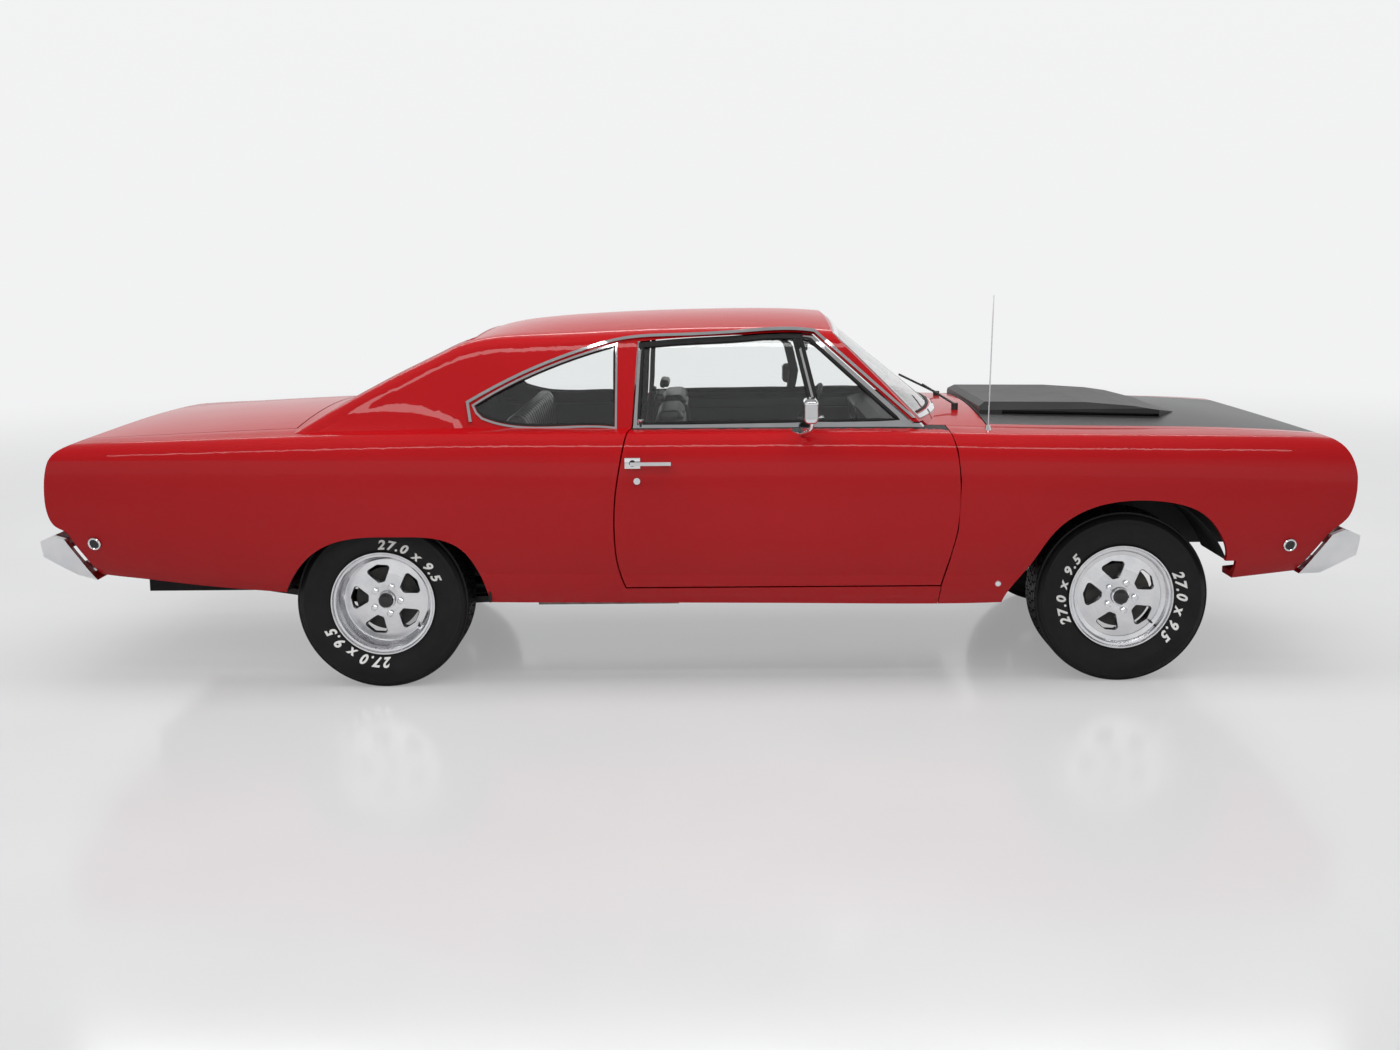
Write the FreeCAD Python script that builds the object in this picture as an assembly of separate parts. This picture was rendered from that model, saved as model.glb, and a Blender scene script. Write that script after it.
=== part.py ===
"""Two-door muscle coupe, built as separate panels, glass, running gear and cabin pieces.

The car faces +X with its right-hand side at -Y and stands on its tyres at Z = 0.
Lengths are millimetres. Body stations are distances forward of the middle of the wheelbase,
and panel heights are written for the ride height and roof height given below.
"""
import FreeCAD
import Part
import math
import os

V = FreeCAD.Vector

# Driving dimensions of the car
LENGTH = 5220.0
WHEELBASE = 2946.0
FRONT_OVERHANG = 922.0
HALF_WIDTH = 970.0
LIFT = 0.0
BELT_HEIGHT = 1030.0
ROOF_CROWN = 1468.0

# Panels and gaps
SKIN = 25.0
ROOF_THICK = 35.0
LID_THICK = 22.0
DOOR_GAP = 6.0
LID_GAP = 6.0
LID_END_GAP = 10.0
SEAM = 3.0
DOOR_INNER_Y = 745.0
CABIN_HALF = 742.0
GLASS = 5.0
GLASS_RECESS = 12.0

# Wheels, tyres and running gear
TYRE_R = 343.5
TYRE_BEAD_R = 190.5
FRONT_TRACK_HALF = 755.0
REAR_TRACK_HALF = 752.0
FRONT_TYRE_W = 240.0
REAR_TYRE_W = 262.0
RIM_LIP_R = 208.0
RIM_WALL = 8.0
FRONT_DISH = 24.0
REAR_DISH = 82.0
LUG_COUNT = 5
LUG_CIRCLE_R = 57.15
SPOKE_COUNT = 5
WHEEL_TURN = math.radians(14.0)
HUB_R = 35.0
RUNNING = 0.05
KINGPIN_Y = 690.0
KINGPIN_R = 12.0
ARM_LOW_Z = 228.0
ARM_HIGH_Z = 448.0
ARM_THICK = 26.0
AXLE_TUBE_R = 40.0
SPRING_Y = 545.0
ARCH_DEPTH_Y = 440.0

# Reach of the cutting blocks: over every panel, and under every panel
ABOVE = 1700.0
BELOW = 200.0

AXLE_FRONT_X = LENGTH / 2 - FRONT_OVERHANG
AXLE_REAR_X = AXLE_FRONT_X - WHEELBASE
TABLE_HALF_BASE = 1473.0
TABLE_BELT = 1030.0
TABLE_CROWN = 1468.0


def X(station):
    """Car X of a body station, so that the panels follow the axles."""
    if station >= TABLE_HALF_BASE:
        return AXLE_FRONT_X + station - TABLE_HALF_BASE
    if station <= -TABLE_HALF_BASE:
        return AXLE_REAR_X + station + TABLE_HALF_BASE
    return AXLE_REAR_X + (station + TABLE_HALF_BASE) / (2 * TABLE_HALF_BASE) * WHEELBASE


def Z(height):
    """Car Z of a panel height, from the lift, the belt height and the roof height."""
    if height <= TABLE_BELT:
        return height + LIFT + (BELT_HEIGHT - TABLE_BELT) * max(0.0, height - 330.0) / (TABLE_BELT - 330.0)
    share = (height - TABLE_BELT) / (TABLE_CROWN - TABLE_BELT)
    return LIFT + BELT_HEIGHT + share * (ROOF_CROWN - BELT_HEIGHT)


def steady(*points):
    """A smooth curve through (station, value) points that never overshoots them."""
    pts = sorted(points)
    xs = [p[0] for p in pts]
    ys = [p[1] for p in pts]
    n = len(xs)
    secant = [(ys[i + 1] - ys[i]) / (xs[i + 1] - xs[i]) for i in range(n - 1)]
    slope = [secant[0]]
    for i in range(1, n - 1):
        a, b = secant[i - 1], secant[i]
        slope.append(0.0 if a * b <= 0 else 2 * a * b / (a + b))
    slope.append(secant[-1])

    def at(x):
        x = min(max(x, xs[0]), xs[-1])
        k = max(i for i in range(n - 1) if xs[i] <= x)
        h = xs[k + 1] - xs[k]
        t = (x - xs[k]) / h
        return (ys[k] * (2 * t ** 3 - 3 * t ** 2 + 1) + slope[k] * h * (t ** 3 - 2 * t ** 2 + t)
                + ys[k + 1] * (3 * t ** 2 - 2 * t ** 3) + slope[k + 1] * h * (t ** 3 - t ** 2))

    return at


def bezier(a, q, b, count):
    """Points on the curve from a to b that is pulled towards q."""
    out = []
    for i in range(count):
        t = i / (count - 1.0)
        out.append(tuple((1 - t) ** 2 * a[k] + 2 * t * (1 - t) * q[k] + t * t * b[k] for k in (0, 1)))
    return out


def box(x0, x1, y0, y1, z0, z1):
    return Part.makeBox(x1 - x0, y1 - y0, z1 - z0, V(x0, y0, z0))


def cylinder(radius, length, centre, axis):
    """A cylinder whose middle is at centre."""
    d = V(*axis).normalize()
    return Part.makeCylinder(radius, length, V(*centre) - d * (length / 2.0), d)


def mirrored(shape):
    """The same shape on the other side of the car."""
    return shape.mirror(V(0, 0, 0), V(0, 1, 0))


def both(shape):
    return Part.makeCompound([shape, mirrored(shape)])


def union(shapes):
    return shapes[0].multiFuse(shapes[1:]).removeSplitter() if len(shapes) > 1 else shapes[0]


def polygon(points):
    return Part.makePolygon([V(*p) for p in points] + [V(*points[0])])


def plate_y(points, y0, y1):
    """A plate with an (x, z) outline between two y planes."""
    return Part.Face(polygon([(x, y0, z) for x, z in points])).extrude(V(0, y1 - y0, 0))


def plate_x(points, x0, x1):
    """A plate with a (y, z) outline between two x planes."""
    return Part.Face(polygon([(x0, y, z) for y, z in points])).extrude(V(x1 - x0, 0, 0))


def plate_z(points, z0, z1):
    """A plate with an (x, y) outline between two z planes."""
    return Part.Face(polygon([(x, y, z0) for x, y in points])).extrude(V(0, 0, z1 - z0))


def rounded(points, radius, place):
    """A closed wire through corner points, each corner turned into an arc. place lifts (u, v) to space."""
    edges = []
    n = len(points)
    starts = []
    for i in range(n):
        a, p, b = (V(points[j % n][0], points[j % n][1], 0) for j in (i - 1, i, i + 1))
        u = (a - p).normalize()
        w = (b - p).normalize()
        half = math.acos(max(-1.0, min(1.0, u.dot(w)))) / 2.0
        cut = min(radius / math.tan(half), (a - p).Length * 0.45, (b - p).Length * 0.45)
        mid = p + (u + w).normalize() * (cut / math.cos(half) - cut * math.tan(half))
        starts.append((p + u * cut, mid, p + w * cut))
    for i in range(n):
        s, m, e = starts[i]
        edges.append(Part.Arc(place(s.x, s.y), place(m.x, m.y), place(e.x, e.y)).toShape())
        nxt = starts[(i + 1) % n][0]
        if (nxt - e).Length > 1e-6:
            edges.append(Part.LineSegment(place(e.x, e.y), place(nxt.x, nxt.y)).toShape())
    return Part.Wire(edges)


def lone(shape):
    """The biggest solid of a cut, without slivers."""
    return max(shape.Solids, key=lambda s: s.Volume)


def through(points, places):
    """A smooth curve through points, with each point at its own place along the curve."""
    curve = Part.BSplineCurve()
    curve.interpolate(Points=points, Parameters=places)
    return curve


def spacing(points):
    """Places along a curve that follow the distances between its points."""
    places = [0.0]
    for a, b in zip(points, points[1:]):
        places.append(places[-1] + (b - a).Length ** 0.7)
    return places


def smooth_face(grid, rows, columns):
    """A smooth surface through a grid of points. rows and columns place them along the surface."""
    across = [through(line, columns) for line in grid]
    lanes = list(zip(*[curve.getPoles() for curve in across]))
    along = [through(list(lane), rows) for lane in lanes]
    poles = [list(row) for row in zip(*[curve.getPoles() for curve in along])]
    surface = Part.BSplineSurface()
    surface.buildFromPolesMultsKnots(poles, along[0].getMultiplicities(), across[0].getMultiplicities(),
                                     along[0].getKnots(), across[0].getKnots(), False, False,
                                     along[0].Degree, across[0].Degree)
    return surface.toShape()


def skinned(rows):
    """A closed solid through half sections: rows of (x, strips), each strip a list of (y, z) points."""
    places = [x / 1000.0 for x, _ in rows]
    faces = []
    sills = []
    for side in (-1, 1):
        for k in range(len(rows[0][1])):
            strip = [[V(x, side * y, z) for y, z in strips[k]] for x, strips in rows]
            faces.append(smooth_face(strip, places, spacing(strip[len(strip) // 2])))
        sills.append(through([V(x, side * strips[0][0][0], strips[0][0][1]) for x, strips in rows], places))
    faces.append(Part.makeRuledSurface(sills[0].toShape(), sills[1].toShape()))
    for x, strips in (rows[0], rows[-1]):
        ends = [edge for face in faces for edge in face.Edges
                if edge.BoundBox.XLength < 1e-3 and abs(edge.CenterOfMass.x - x) < 1e-3]
        faces.append(Part.Face(Part.Wire(Part.__sortEdges__(ends))))
    return sewn(faces)


def sewn(faces):
    shell = Part.makeShell(faces)
    shell.sewShape()
    solid = Part.makeSolid(shell)
    if solid.Volume < 0:
        solid.reverse()
    return solid


# Body side lines, as heights and half widths at stations along the car
half_width = steady((-2840, 898), (-2700, 915), (-2500, 932), (-2250, 948), (-1900, 962), (-1473, 968),
                    (-900, 966), (-500, 963), (0, 963), (500, 965), (1000, 969), (1500, 970), (1850, 962),
                    (2100, 948), (2300, 930), (2420, 915))
bottom_z = steady((-2840, 500), (-2556, 462), (-2378, 444), (-2182, 422), (-1866, 396), (-1473, 370),
                  (-1048, 348), (-601, 343), (190, 334), (722, 328), (998, 332), (1400, 368), (1821, 413),
                  (2153, 446), (2420, 470))
low_crease_z = steady((-2840, 560), (-2563, 534), (-2250, 500), (-1818, 474), (-1049, 472), (-518, 465),
                      (188, 455), (737, 451), (1070, 455), (1840, 473), (2104, 500), (2420, 530))
crease_z = steady((-2840, 930), (-2686, 934), (-2141, 936), (-1752, 932), (-1363, 929), (-1053, 924),
                  (-743, 914), (-200, 911), (188, 911), (961, 908), (1348, 896), (1734, 887), (2121, 866),
                  (2420, 850))
shoulder_z = steady((-2840, 978), (-2602, 998), (-2365, 1006), (-1970, 1018), (-1575, 1027), (-1103, 1032),
                    (-513, 1027), (193, 1024), (585, 1019), (977, 1008), (1368, 1001), (1759, 994),
                    (2111, 984), (2268, 974), (2420, 958))
top_edge_y = steady((-2840, 735), (-2400, 752), (-1900, 765), (-1473, 775), (-1100, 795), (-500, 800),
                    (600, 800), (900, 765), (1200, 752), (1700, 745), (2100, 735), (2420, 720))
top_edge_z = steady((-2840, 985), (-2602, 1006), (-2365, 1015), (-1970, 1030), (-1575, 1038), (-1103, 1038),
                    (-513, 1031), (193, 1029), (585, 1027), (820, 1022), (977, 1017), (1394, 1008),
                    (1791, 1002), (2111, 990), (2268, 978), (2420, 960))
top_crown = steady((-2840, 10), (-2602, 22), (-2365, 32), (-1970, 38), (-1700, 40), (-1400, 30), (-1000, 5),
                   (500, 5), (800, 38), (950, 44), (1400, 42), (1800, 32), (2050, 18), (2250, 5), (2420, 0))

# The greenhouse: roof and backlight centre line, how far its edge lies below it, and the outward flare
crown_z = steady((-1900, 965), (-1770, 1040), (-1669, 1100), (-1519, 1180), (-1372, 1256), (-1252, 1320),
                 (-1155, 1374), (-1060, 1408), (-960, 1428), (-818, 1443), (-641, 1454), (-377, 1464),
                 (-113, 1468), (151, 1466), (283, 1459), (450, 1440), (700, 1400), (950, 1340))
crown_drop = steady((-1900, -10), (-1450, -10), (-1252, 0), (-1060, 22), (-900, 38), (-700, 48), (300, 50),
                    (950, 50))
flare = steady((-1900, 1.0), (-1400, 1.0), (-1200, 0.45), (-1060, 0.0), (950, 0.0))
TUMBLE = 0.39
BELT_Y = 800.0

TUB_STATIONS = (-2840, -2760, -2680, -2560, -2400, -2200, -1970, -1740, -1473, -1200, -900, -600, -300, 0, 300,
                600, 800, 950, 1150, 1394, 1620, 1850, 2050, 2180, 2280, 2350, 2420)
TUNNEL_STATIONS = (-1900, -1770, -1669, -1594, -1519, -1445, -1372, -1312, -1252, -1200, -1155, -1107, -1060,
                   -1010, -960, -890, -818, -641, -377, -113, 151, 283, 450, 700, 950)


def tub_section(s, grow, drop):
    """Half section of the lower body, grown outwards by grow and lowered on top by drop."""
    w = half_width(s) - 970.0 + HALF_WIDTH + grow
    zb, zl, zc, zs = (Z(f(s)) for f in (bottom_z, low_crease_z, crease_z, shoulder_z))
    zb = zb - grow
    zs = zs - drop
    zt = Z(top_edge_z(s)) - drop
    yt = top_edge_y(s)
    ys = 865.0 + (w - 970.0) * 0.8
    rocker = [(w - 88, zb), (w - 62, (zb + zl) / 2), (w - 46, zl)]
    rise = zc - zl
    side = [(w - 46, zl), (w - 31, zl + 0.1 * rise), (w - 20, zl + 0.2 * rise), (w - 11, zl + 0.33 * rise),
            (w - 5, zl + 0.48 * rise), (w - 1.5, zl + 0.62 * rise), (w, zl + 0.77 * rise),
            (w - 2, zl + 0.9 * rise), (w - 7, zc)]
    turn = bezier((w - 7, zc), (w - 26, zs - 3), (ys, zs), 8)
    top = turn + [((ys + yt) / 2, (zs + zt) / 2 + 1.0), (yt, zt)]
    rise_top = top_crown(s)
    lid = [(yt * f, zt + rise_top * (1 - f * f)) for f in (1.0, 0.85, 0.68, 0.5, 0.32, 0.15, 0.0)]
    return [rocker, side, top, lid]


hulls = {}


def tub(grow, drop):
    """The lower body as a closed solid from tail to nose."""
    if ("tub", grow, drop) not in hulls:
        hulls["tub", grow, drop] = skinned([(X(s), tub_section(s, grow, drop)) for s in TUB_STATIONS])
    return hulls["tub", grow, drop]


def tunnel_section(s, inset):
    """Half section of the greenhouse, moved inwards by inset."""
    z0 = Z(crown_z(s)) - inset
    zs = Z(crown_z(s) - crown_drop(s)) - inset
    zr = zs - 46.0
    f = flare(s)

    def side(z):
        out = BELT_Y - TUMBLE * (z - BELT_HEIGHT - LIFT) - inset * 1.07
        above = max(0.0, z - (Z(985.0)))
        return out + f * 75.0 * math.exp(-above / 42.0)

    yr = side(zr)
    ys = yr - 92.0
    slope = 2 * (z0 - zs) / ys
    run = (zs + slope * ys - (zr - 0.0)) - slope * yr
    k = run / (1.0 - slope * TUMBLE)
    corner = (yr - TUMBLE * k, zr + k)
    low = Z(985.0)
    span = zr - low
    wall = [(side(low + span * q), low + span * q) for q in (0.0, 0.06, 0.13, 0.22, 0.36, 0.55, 0.78)]
    turn = bezier((yr, zr), corner, (ys, zs), 6)
    roof = [(ys * q, z0 - (z0 - zs) * q * q) for q in (0.8, 0.6, 0.4, 0.2, 0.0)]
    return wall + turn + roof


def tunnel(inset):
    """A closed solid under the roof line, from ahead of the windscreen to the tail of the backlight."""
    if ("tunnel", inset) not in hulls:
        hulls["tunnel", inset] = skinned([(X(s), [tunnel_section(s, inset)]) for s in TUNNEL_STATIONS])
    return hulls["tunnel", inset]


def screen_x(y, z, setback):
    """Station of the windscreen surface at a height and distance from the middle."""
    share = (z - 1050.0) / (1405.0 - 1050.0)
    return 384.0 + 1.23 * (1405.0 - z) - (0.25 - 0.09 * share) * y * y / 1000.0 - setback


def ahead_of_screen(setback):
    """Everything ahead of the windscreen surface."""
    grid = [[V(X(screen_x(y, z, setback)), y, Z(z)) for y in (-950, -700, -450, -200, 0, 200, 450, 700, 950)]
            for z in (850.0, 950.0, 1050.0, 1180.0, 1310.0, 1440.0, 1560.0)]
    surface = Part.BSplineSurface()
    surface.interpolate(grid)
    return surface.toShape().extrude(V(1500, 0, 0))


def outline_wire(points, y, grow, shift):
    """The wire of a side-view outline at a y plane. Rows are (station, height, corner?)."""
    flat = [(X(s), Z(h)) for s, h, _ in points]
    n = len(flat)
    area = sum(flat[i][0] * flat[(i + 1) % n][1] - flat[(i + 1) % n][0] * flat[i][1] for i in range(n))
    turn = 1.0 if area > 0 else -1.0
    moved = []
    for i in range(n):
        a, p, b = flat[i - 1], flat[i], flat[(i + 1) % n]
        na = V((p[1] - a[1]), -(p[0] - a[0]), 0).normalize() * turn
        nb = V((b[1] - p[1]), -(b[0] - p[0]), 0).normalize() * turn
        m = (na + nb).normalize()
        m = m * (grow / max(0.4, m.dot(na)))
        moved.append(V(p[0] + m.x + shift(p[0]), y, p[1] + m.y))
    corners = [i for i in range(n) if points[i][2]]
    edges = []
    for a, b in zip(corners, corners[1:] + [corners[0] + n]):
        run = [moved[i % n] for i in range(a, b + 1)]
        if len(run) == 2:
            edges.append(Part.LineSegment(run[0], run[1]).toShape())
        else:
            curve = Part.BSplineCurve()
            curve.interpolate(run)
            edges.append(curve.toShape())
    return Part.Wire(edges)


DOOR_LEAN = 95.0
DOOR_REAR = -547.0


def side_tool(points, grow, y_out=-1010.0, y_in=-560.0, lean=0.0):
    """A right-hand cutting block with a side-view outline, its rear leaning forward towards the inside."""

    def shift(x):
        return lean * max(0.0, 1.0 - (x - X(DOOR_REAR)) / 200.0)

    outer = outline_wire(points, y_out, grow, lambda x: 0.0)
    inner = outline_wire(points, y_in, grow, shift)
    return Part.makeLoft([outer, inner], True, True)


# Side-view outlines: (station, height, corner)
DOOR = [(745, 410, True), (768, 498, False), (801, 637, False), (809, 834, False), (796, 951, False),
        (768, 1040, True), (640, 1040, True), (256, 1383, True), (204, 1388, False), (-37, 1382, False),
        (-277, 1372, False), (-495, 1360, True), (-499, 1045, True), (-522, 885, False),
        (-540, 767, False), (-547, 609, False), (-534, 469, False), (-514, 410, True)]
DOOR_WINDOW = [(588, 1052, True), (244, 1364, True), (204, 1370, False), (-37, 1364, False),
               (-277, 1354, False), (-472, 1343, True), (-475, 1044, True)]
QUARTER_WINDOW = [(-538, 1038, True), (-536, 1350, True), (-680, 1309, False), (-842, 1250, False),
                  (-1006, 1174, False), (-1096, 1122, True), (-1084, 1098, True), (-1062, 1078, True),
                  (-992, 1056, False), (-754, 1042, False)]
FENDER_REAR = [(731, 300), (745, 410), (768, 498), (801, 637), (809, 834), (796, 951), (768, 1040), (768, 1100)]
ARCH_FRONT = [(988, 250, True), (996, 344, False), (1089, 487, False), (1183, 629, False), (1317, 719, False),
              (1471, 749, False), (1627, 740, False), (1745, 700, False), (1834, 604, False),
              (1862, 508, False), (1819, 417, False), (1790, 250, True)]
ARCH_REAR = [(-1880, 250, True), (-1849, 404, False), (-1818, 460, False), (-1776, 516, False),
             (-1694, 583, False), (-1594, 618, False), (-1377, 628, False), (-1221, 615, False),
             (-1144, 578, False), (-1088, 502, False), (-1044, 373, False), (-1030, 250, True)]
NOSE = [(2150, 1250), (2200, 1010), (2262, 982), (2312, 950), (2346, 897), (2362, 830), (2358, 745),
        (2335, 671), (2285, 625), (2256, 600), (2150, 440), (2150, 250)]
TAIL = [(-2560, 1250), (-2620, 1030), (-2690, 990), (-2745, 955), (-2772, 890), (-2782, 800), (-2776, 720),
        (-2750, 672), (-2708, 648), (-2694, 625), (-2596, 455), (-2560, 250)]
BUMPER_FRONT = [(2163, 440), (2268, 602), (2319, 623), (2400, 590), (2400, 520), (2356, 500), (2250, 440)]
BUMPER_REAR = [(-2612, 448), (-2712, 622), (-2762, 636), (-2830, 606), (-2830, 556), (-2690, 470)]


def end_edges(points, y):
    """Side-view edges of one end of the body at a y plane: straight at both ends and smooth between."""
    flat = [V(X(s), y, Z(h)) for s, h in points]
    curve = Part.BSplineCurve()
    curve.interpolate(flat[1:-2])
    straight = ((flat[0], flat[1]), (flat[-3], flat[-2]), (flat[-2], flat[-1]))
    return [curve.toShape()] + [Part.LineSegment(a, b).toShape() for a, b in straight]


def profile_block():
    """A block across the whole car with the side-view shape of the nose and the tail."""
    wide = HALF_WIDTH + 60.0
    nose = end_edges(NOSE, -wide)
    tail = end_edges(TAIL, -wide)
    top = Part.LineSegment(V(X(TAIL[0][0]), -wide, Z(TAIL[0][1])), V(X(NOSE[0][0]), -wide, Z(NOSE[0][1])))
    low = Part.LineSegment(V(X(TAIL[-1][0]), -wide, Z(TAIL[-1][1])), V(X(NOSE[-1][0]), -wide, Z(NOSE[-1][1])))
    wire = Part.Wire(Part.__sortEdges__(nose + tail + [top.toShape(), low.toShape()]))
    return Part.Face(wire).extrude(V(0, 2 * wide, 0))


PLAN_BOW = 12.0


def plan_block(front, rear, half, radius):
    """A block with rounded plan-view corners, bowed a little at both ends."""
    points = [(rear, -half), (rear - PLAN_BOW, 0.0), (rear, half), (front, half), (front + PLAN_BOW, 0.0),
              (front, -half)]
    wire = rounded(points, radius, lambda x, y: V(x, y, BELOW))
    return Part.Face(wire).extrude(V(0, 0, ABOVE - BELOW))


NOSE_X = X(2362)
TAIL_X = X(-2782)
body_plan = plan_block(NOSE_X, TAIL_X, HALF_WIDTH + 2.0, 60.0)
lower = tub(0.0, 0.0).common(profile_block()).common(body_plan)
inner_lower = tub(-SKIN, SKIN)
cabin_roof = tunnel(0.0).cut(ahead_of_screen(0.0))
cabin_inner = tunnel(ROOF_THICK).cut(ahead_of_screen(ROOF_THICK + 8.0))
roof_shell = cabin_roof.cut(cabin_inner)
outer = lower.fuse(cabin_roof)

AHEAD_X = X(2500)
FIREWALL_X = X(800)
FIREWALL_THICK = 30.0
HOOD_REAR_X = X(950)
HOOD_FRONT_X = X(2288)
HOOD_HALF = 745.0
LID_FRONT_X = X(-1815)
LID_REAR_X = X(-2735)
LID_HALF = 742.0
HOOD_OPEN_Z = Z(900.0)
LID_OPEN_Z = Z(930.0)
ENGINE_ROOM_TOP = Z(975.0)
CABIN_ROOM_TOP = Z(1034.0)
COWL_REAR_X = X(640)
COWL_LOW = Z(995.0)
FLOOR_Z = Z(352.0)
FLOOR_THICK = 14.0
REAR_WALL_X = X(-1160)
REAR_FLOOR_Z = Z(610.0)
REAR_HOUSE_Y = 600.0
REAR_HOUSE_HALF = 430.0
REAR_HOUSE_TOP = 770.0
HOUSE_OUT_Y = 900.0
FRONT_HOUSE_HALF = 470.0
FRONT_HOUSE_TOP = 780.0
SHEET = 8.0
SHELF_Z = Z(1030.0)
TAIL_DEEP = 45.0
RUB = 0.3


def door_tool(grow):
    """The cutting block of a door, grown by a gap."""
    return side_tool(DOOR, grow, lean=DOOR_LEAN)


def door_opening():
    """The door's hole in the body, which stops short of the cowl between the doors."""
    cowl = box(COWL_REAR_X, FIREWALL_X, DOOR_GAP - DOOR_INNER_Y, 0.0, COWL_LOW, ABOVE)
    return door_tool(DOOR_GAP).cut(cowl)


# Openings and rooms cut from the panels
hood_hole = box(HOOD_REAR_X - LID_GAP, HOOD_FRONT_X + LID_END_GAP, -HOOD_HALF - LID_GAP, HOOD_HALF + LID_GAP,
                HOOD_OPEN_Z, ABOVE)
lid_hole = box(LID_REAR_X - LID_END_GAP, LID_FRONT_X + LID_GAP, -LID_HALF - LID_GAP, LID_HALF + LID_GAP,
               LID_OPEN_Z, ABOVE)
engine_room = box(FIREWALL_X, NOSE_X, -HOOD_HALF - LID_GAP, HOOD_HALF + LID_GAP, BELOW, ENGINE_ROOM_TOP)
cabin_room = box(REAR_WALL_X, FIREWALL_X - FIREWALL_THICK, -CABIN_HALF, CABIN_HALF, BELOW, CABIN_ROOM_TOP)
cowl_block = box(COWL_REAR_X, FIREWALL_X, -HALF_WIDTH, HALF_WIDTH, COWL_LOW, Z(1100.0))
cabin_room = cabin_room.cut(cowl_block)
trunk_room = inner_lower.common(profile_block().translated(V(TAIL_DEEP, 0, 0)))
trunk_room = trunk_room.common(box(TAIL_X, X(-1130), -HALF_WIDTH, HALF_WIDTH, BELOW, ABOVE))
axle_room = box(AXLE_REAR_X - REAR_HOUSE_HALF, REAR_WALL_X, -REAR_HOUSE_Y, REAR_HOUSE_Y, BELOW, REAR_FLOOR_Z)
front_arch = both(side_tool(ARCH_FRONT, 0.0, y_in=-ARCH_DEPTH_Y))
rear_arch = both(side_tool(ARCH_REAR, 0.0, y_in=-REAR_HOUSE_Y))
rear_house = box(AXLE_REAR_X - REAR_HOUSE_HALF, AXLE_REAR_X + REAR_HOUSE_HALF, -HALF_WIDTH, -REAR_HOUSE_Y,
                 BELOW, REAR_HOUSE_TOP)


def fender_side(gap):
    """The side view of the front fender, its rear edge a gap ahead of the door's edge."""
    low_front = [(AHEAD_X, -HALF_WIDTH - 50.0, Z(1100.0)), (AHEAD_X, -HALF_WIDTH - 50.0, Z(300.0))]
    return Part.Face(polygon([(X(s) + gap, -HALF_WIDTH - 50.0, Z(h)) for s, h in FENDER_REAR] + low_front))


FENDER_DEEP = HALF_WIDTH + 50.0 - HOOD_HALF - LID_GAP
fender_region = fender_side(DOOR_GAP).extrude(V(0, FENDER_DEEP, 0))
fender_cut = both(fender_side(DOOR_GAP - SEAM).extrude(V(0, FENDER_DEEP + SEAM, 0)))
BAY_FRONT = X(2140)
nose_region = box(BAY_FRONT, AHEAD_X, -HOOD_HALF - LID_GAP, HOOD_HALF + LID_GAP, BELOW, ABOVE)
lower_inside = inner_lower.common(profile_block().translated(V(-30.0, 0, 0)))
inside_cabin = cabin_inner.cut(box(X(-1990), X(-1180), -HALF_WIDTH, HALF_WIDTH, 800.0, SHELF_Z + 60.0))
inside_cabin = inside_cabin.cut(box(COWL_REAR_X, X(1000), -HALF_WIDTH, HALF_WIDTH, 800.0, Z(1028.0)))
GRILLE_HALF = 842.0
GRILLE_LOW = Z(690.0)
GRILLE_HIGH = Z(888.0)
grille_hole = box(X(2200), AHEAD_X, -GRILLE_HALF, GRILLE_HALF, GRILLE_LOW, GRILLE_HIGH)


def screen_opening(grow):
    """The windscreen opening seen from ahead, with an arched top."""
    x = X(100)
    half_low, half_top = 738 + grow, 612 + grow
    z_low, z_side, z_mid = Z(1072) - grow, Z(1376) + grow, Z(1416) + grow
    edges = [Part.LineSegment(V(x, -half_low, z_low), V(x, half_low, z_low)).toShape(),
             Part.LineSegment(V(x, half_low, z_low), V(x, half_top, z_side)).toShape(),
             Part.Arc(V(x, half_top, z_side), V(x, 0, z_mid), V(x, -half_top, z_side)).toShape(),
             Part.LineSegment(V(x, -half_top, z_side), V(x, -half_low, z_low)).toShape()]
    return Part.Face(Part.Wire(edges)).extrude(V(1000, 0, 0))


def backlight_opening(grow):
    """The back glass opening seen from above."""
    top, low = X(-1130) + grow, X(-1700) - grow
    points = [(top, -545 - grow), (top, 545 + grow), (low, 655 + grow), (low, -655 - grow)]
    return Part.Face(rounded(points, 50.0, lambda x, y: V(x, y, Z(1000)))).extrude(V(0, 0, 700))


def roof_sheet(tool, outside, inside):
    """The part of a tool that lies between two depths under the greenhouse surface."""
    return tool.common(tunnel(outside)).cut(tunnel(inside))


door_window = side_tool(DOOR_WINDOW, 0.0, lean=DOOR_LEAN)
quarter_window = side_tool(QUARTER_WINDOW, 0.0)

# Tail lamps and side markers sit in pockets of the skin
LAMP_DEEP, LAMP_PROUD = 12.0, 8.0
LAMP_OUTER_Y, LAMP_INNER_Y, LAMP_LOW, LAMP_HIGH = 850.0, 440.0, Z(745.0), Z(850.0)
MARKER_R = 24.0


def tail_lamp(proud):
    """The block of a tail lamp, standing proud of the panel."""
    return box(TAIL_X - proud, TAIL_X + LAMP_DEEP, -LAMP_OUTER_Y, -LAMP_INNER_Y, LAMP_LOW, LAMP_HIGH)


lamp_pocket = tail_lamp(LAMP_PROUD + SKIN)
MARKERS = {"front": (X(2108), Z(562.0)), "rear": (X(-2597), Z(603.0))}


def marker_hole(key):
    """The round hole of a side marker, front or rear."""
    x, z = MARKERS[key]
    return cylinder(MARKER_R, 80.0, (x, -935.0, z), (0, 1, 0))


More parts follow.
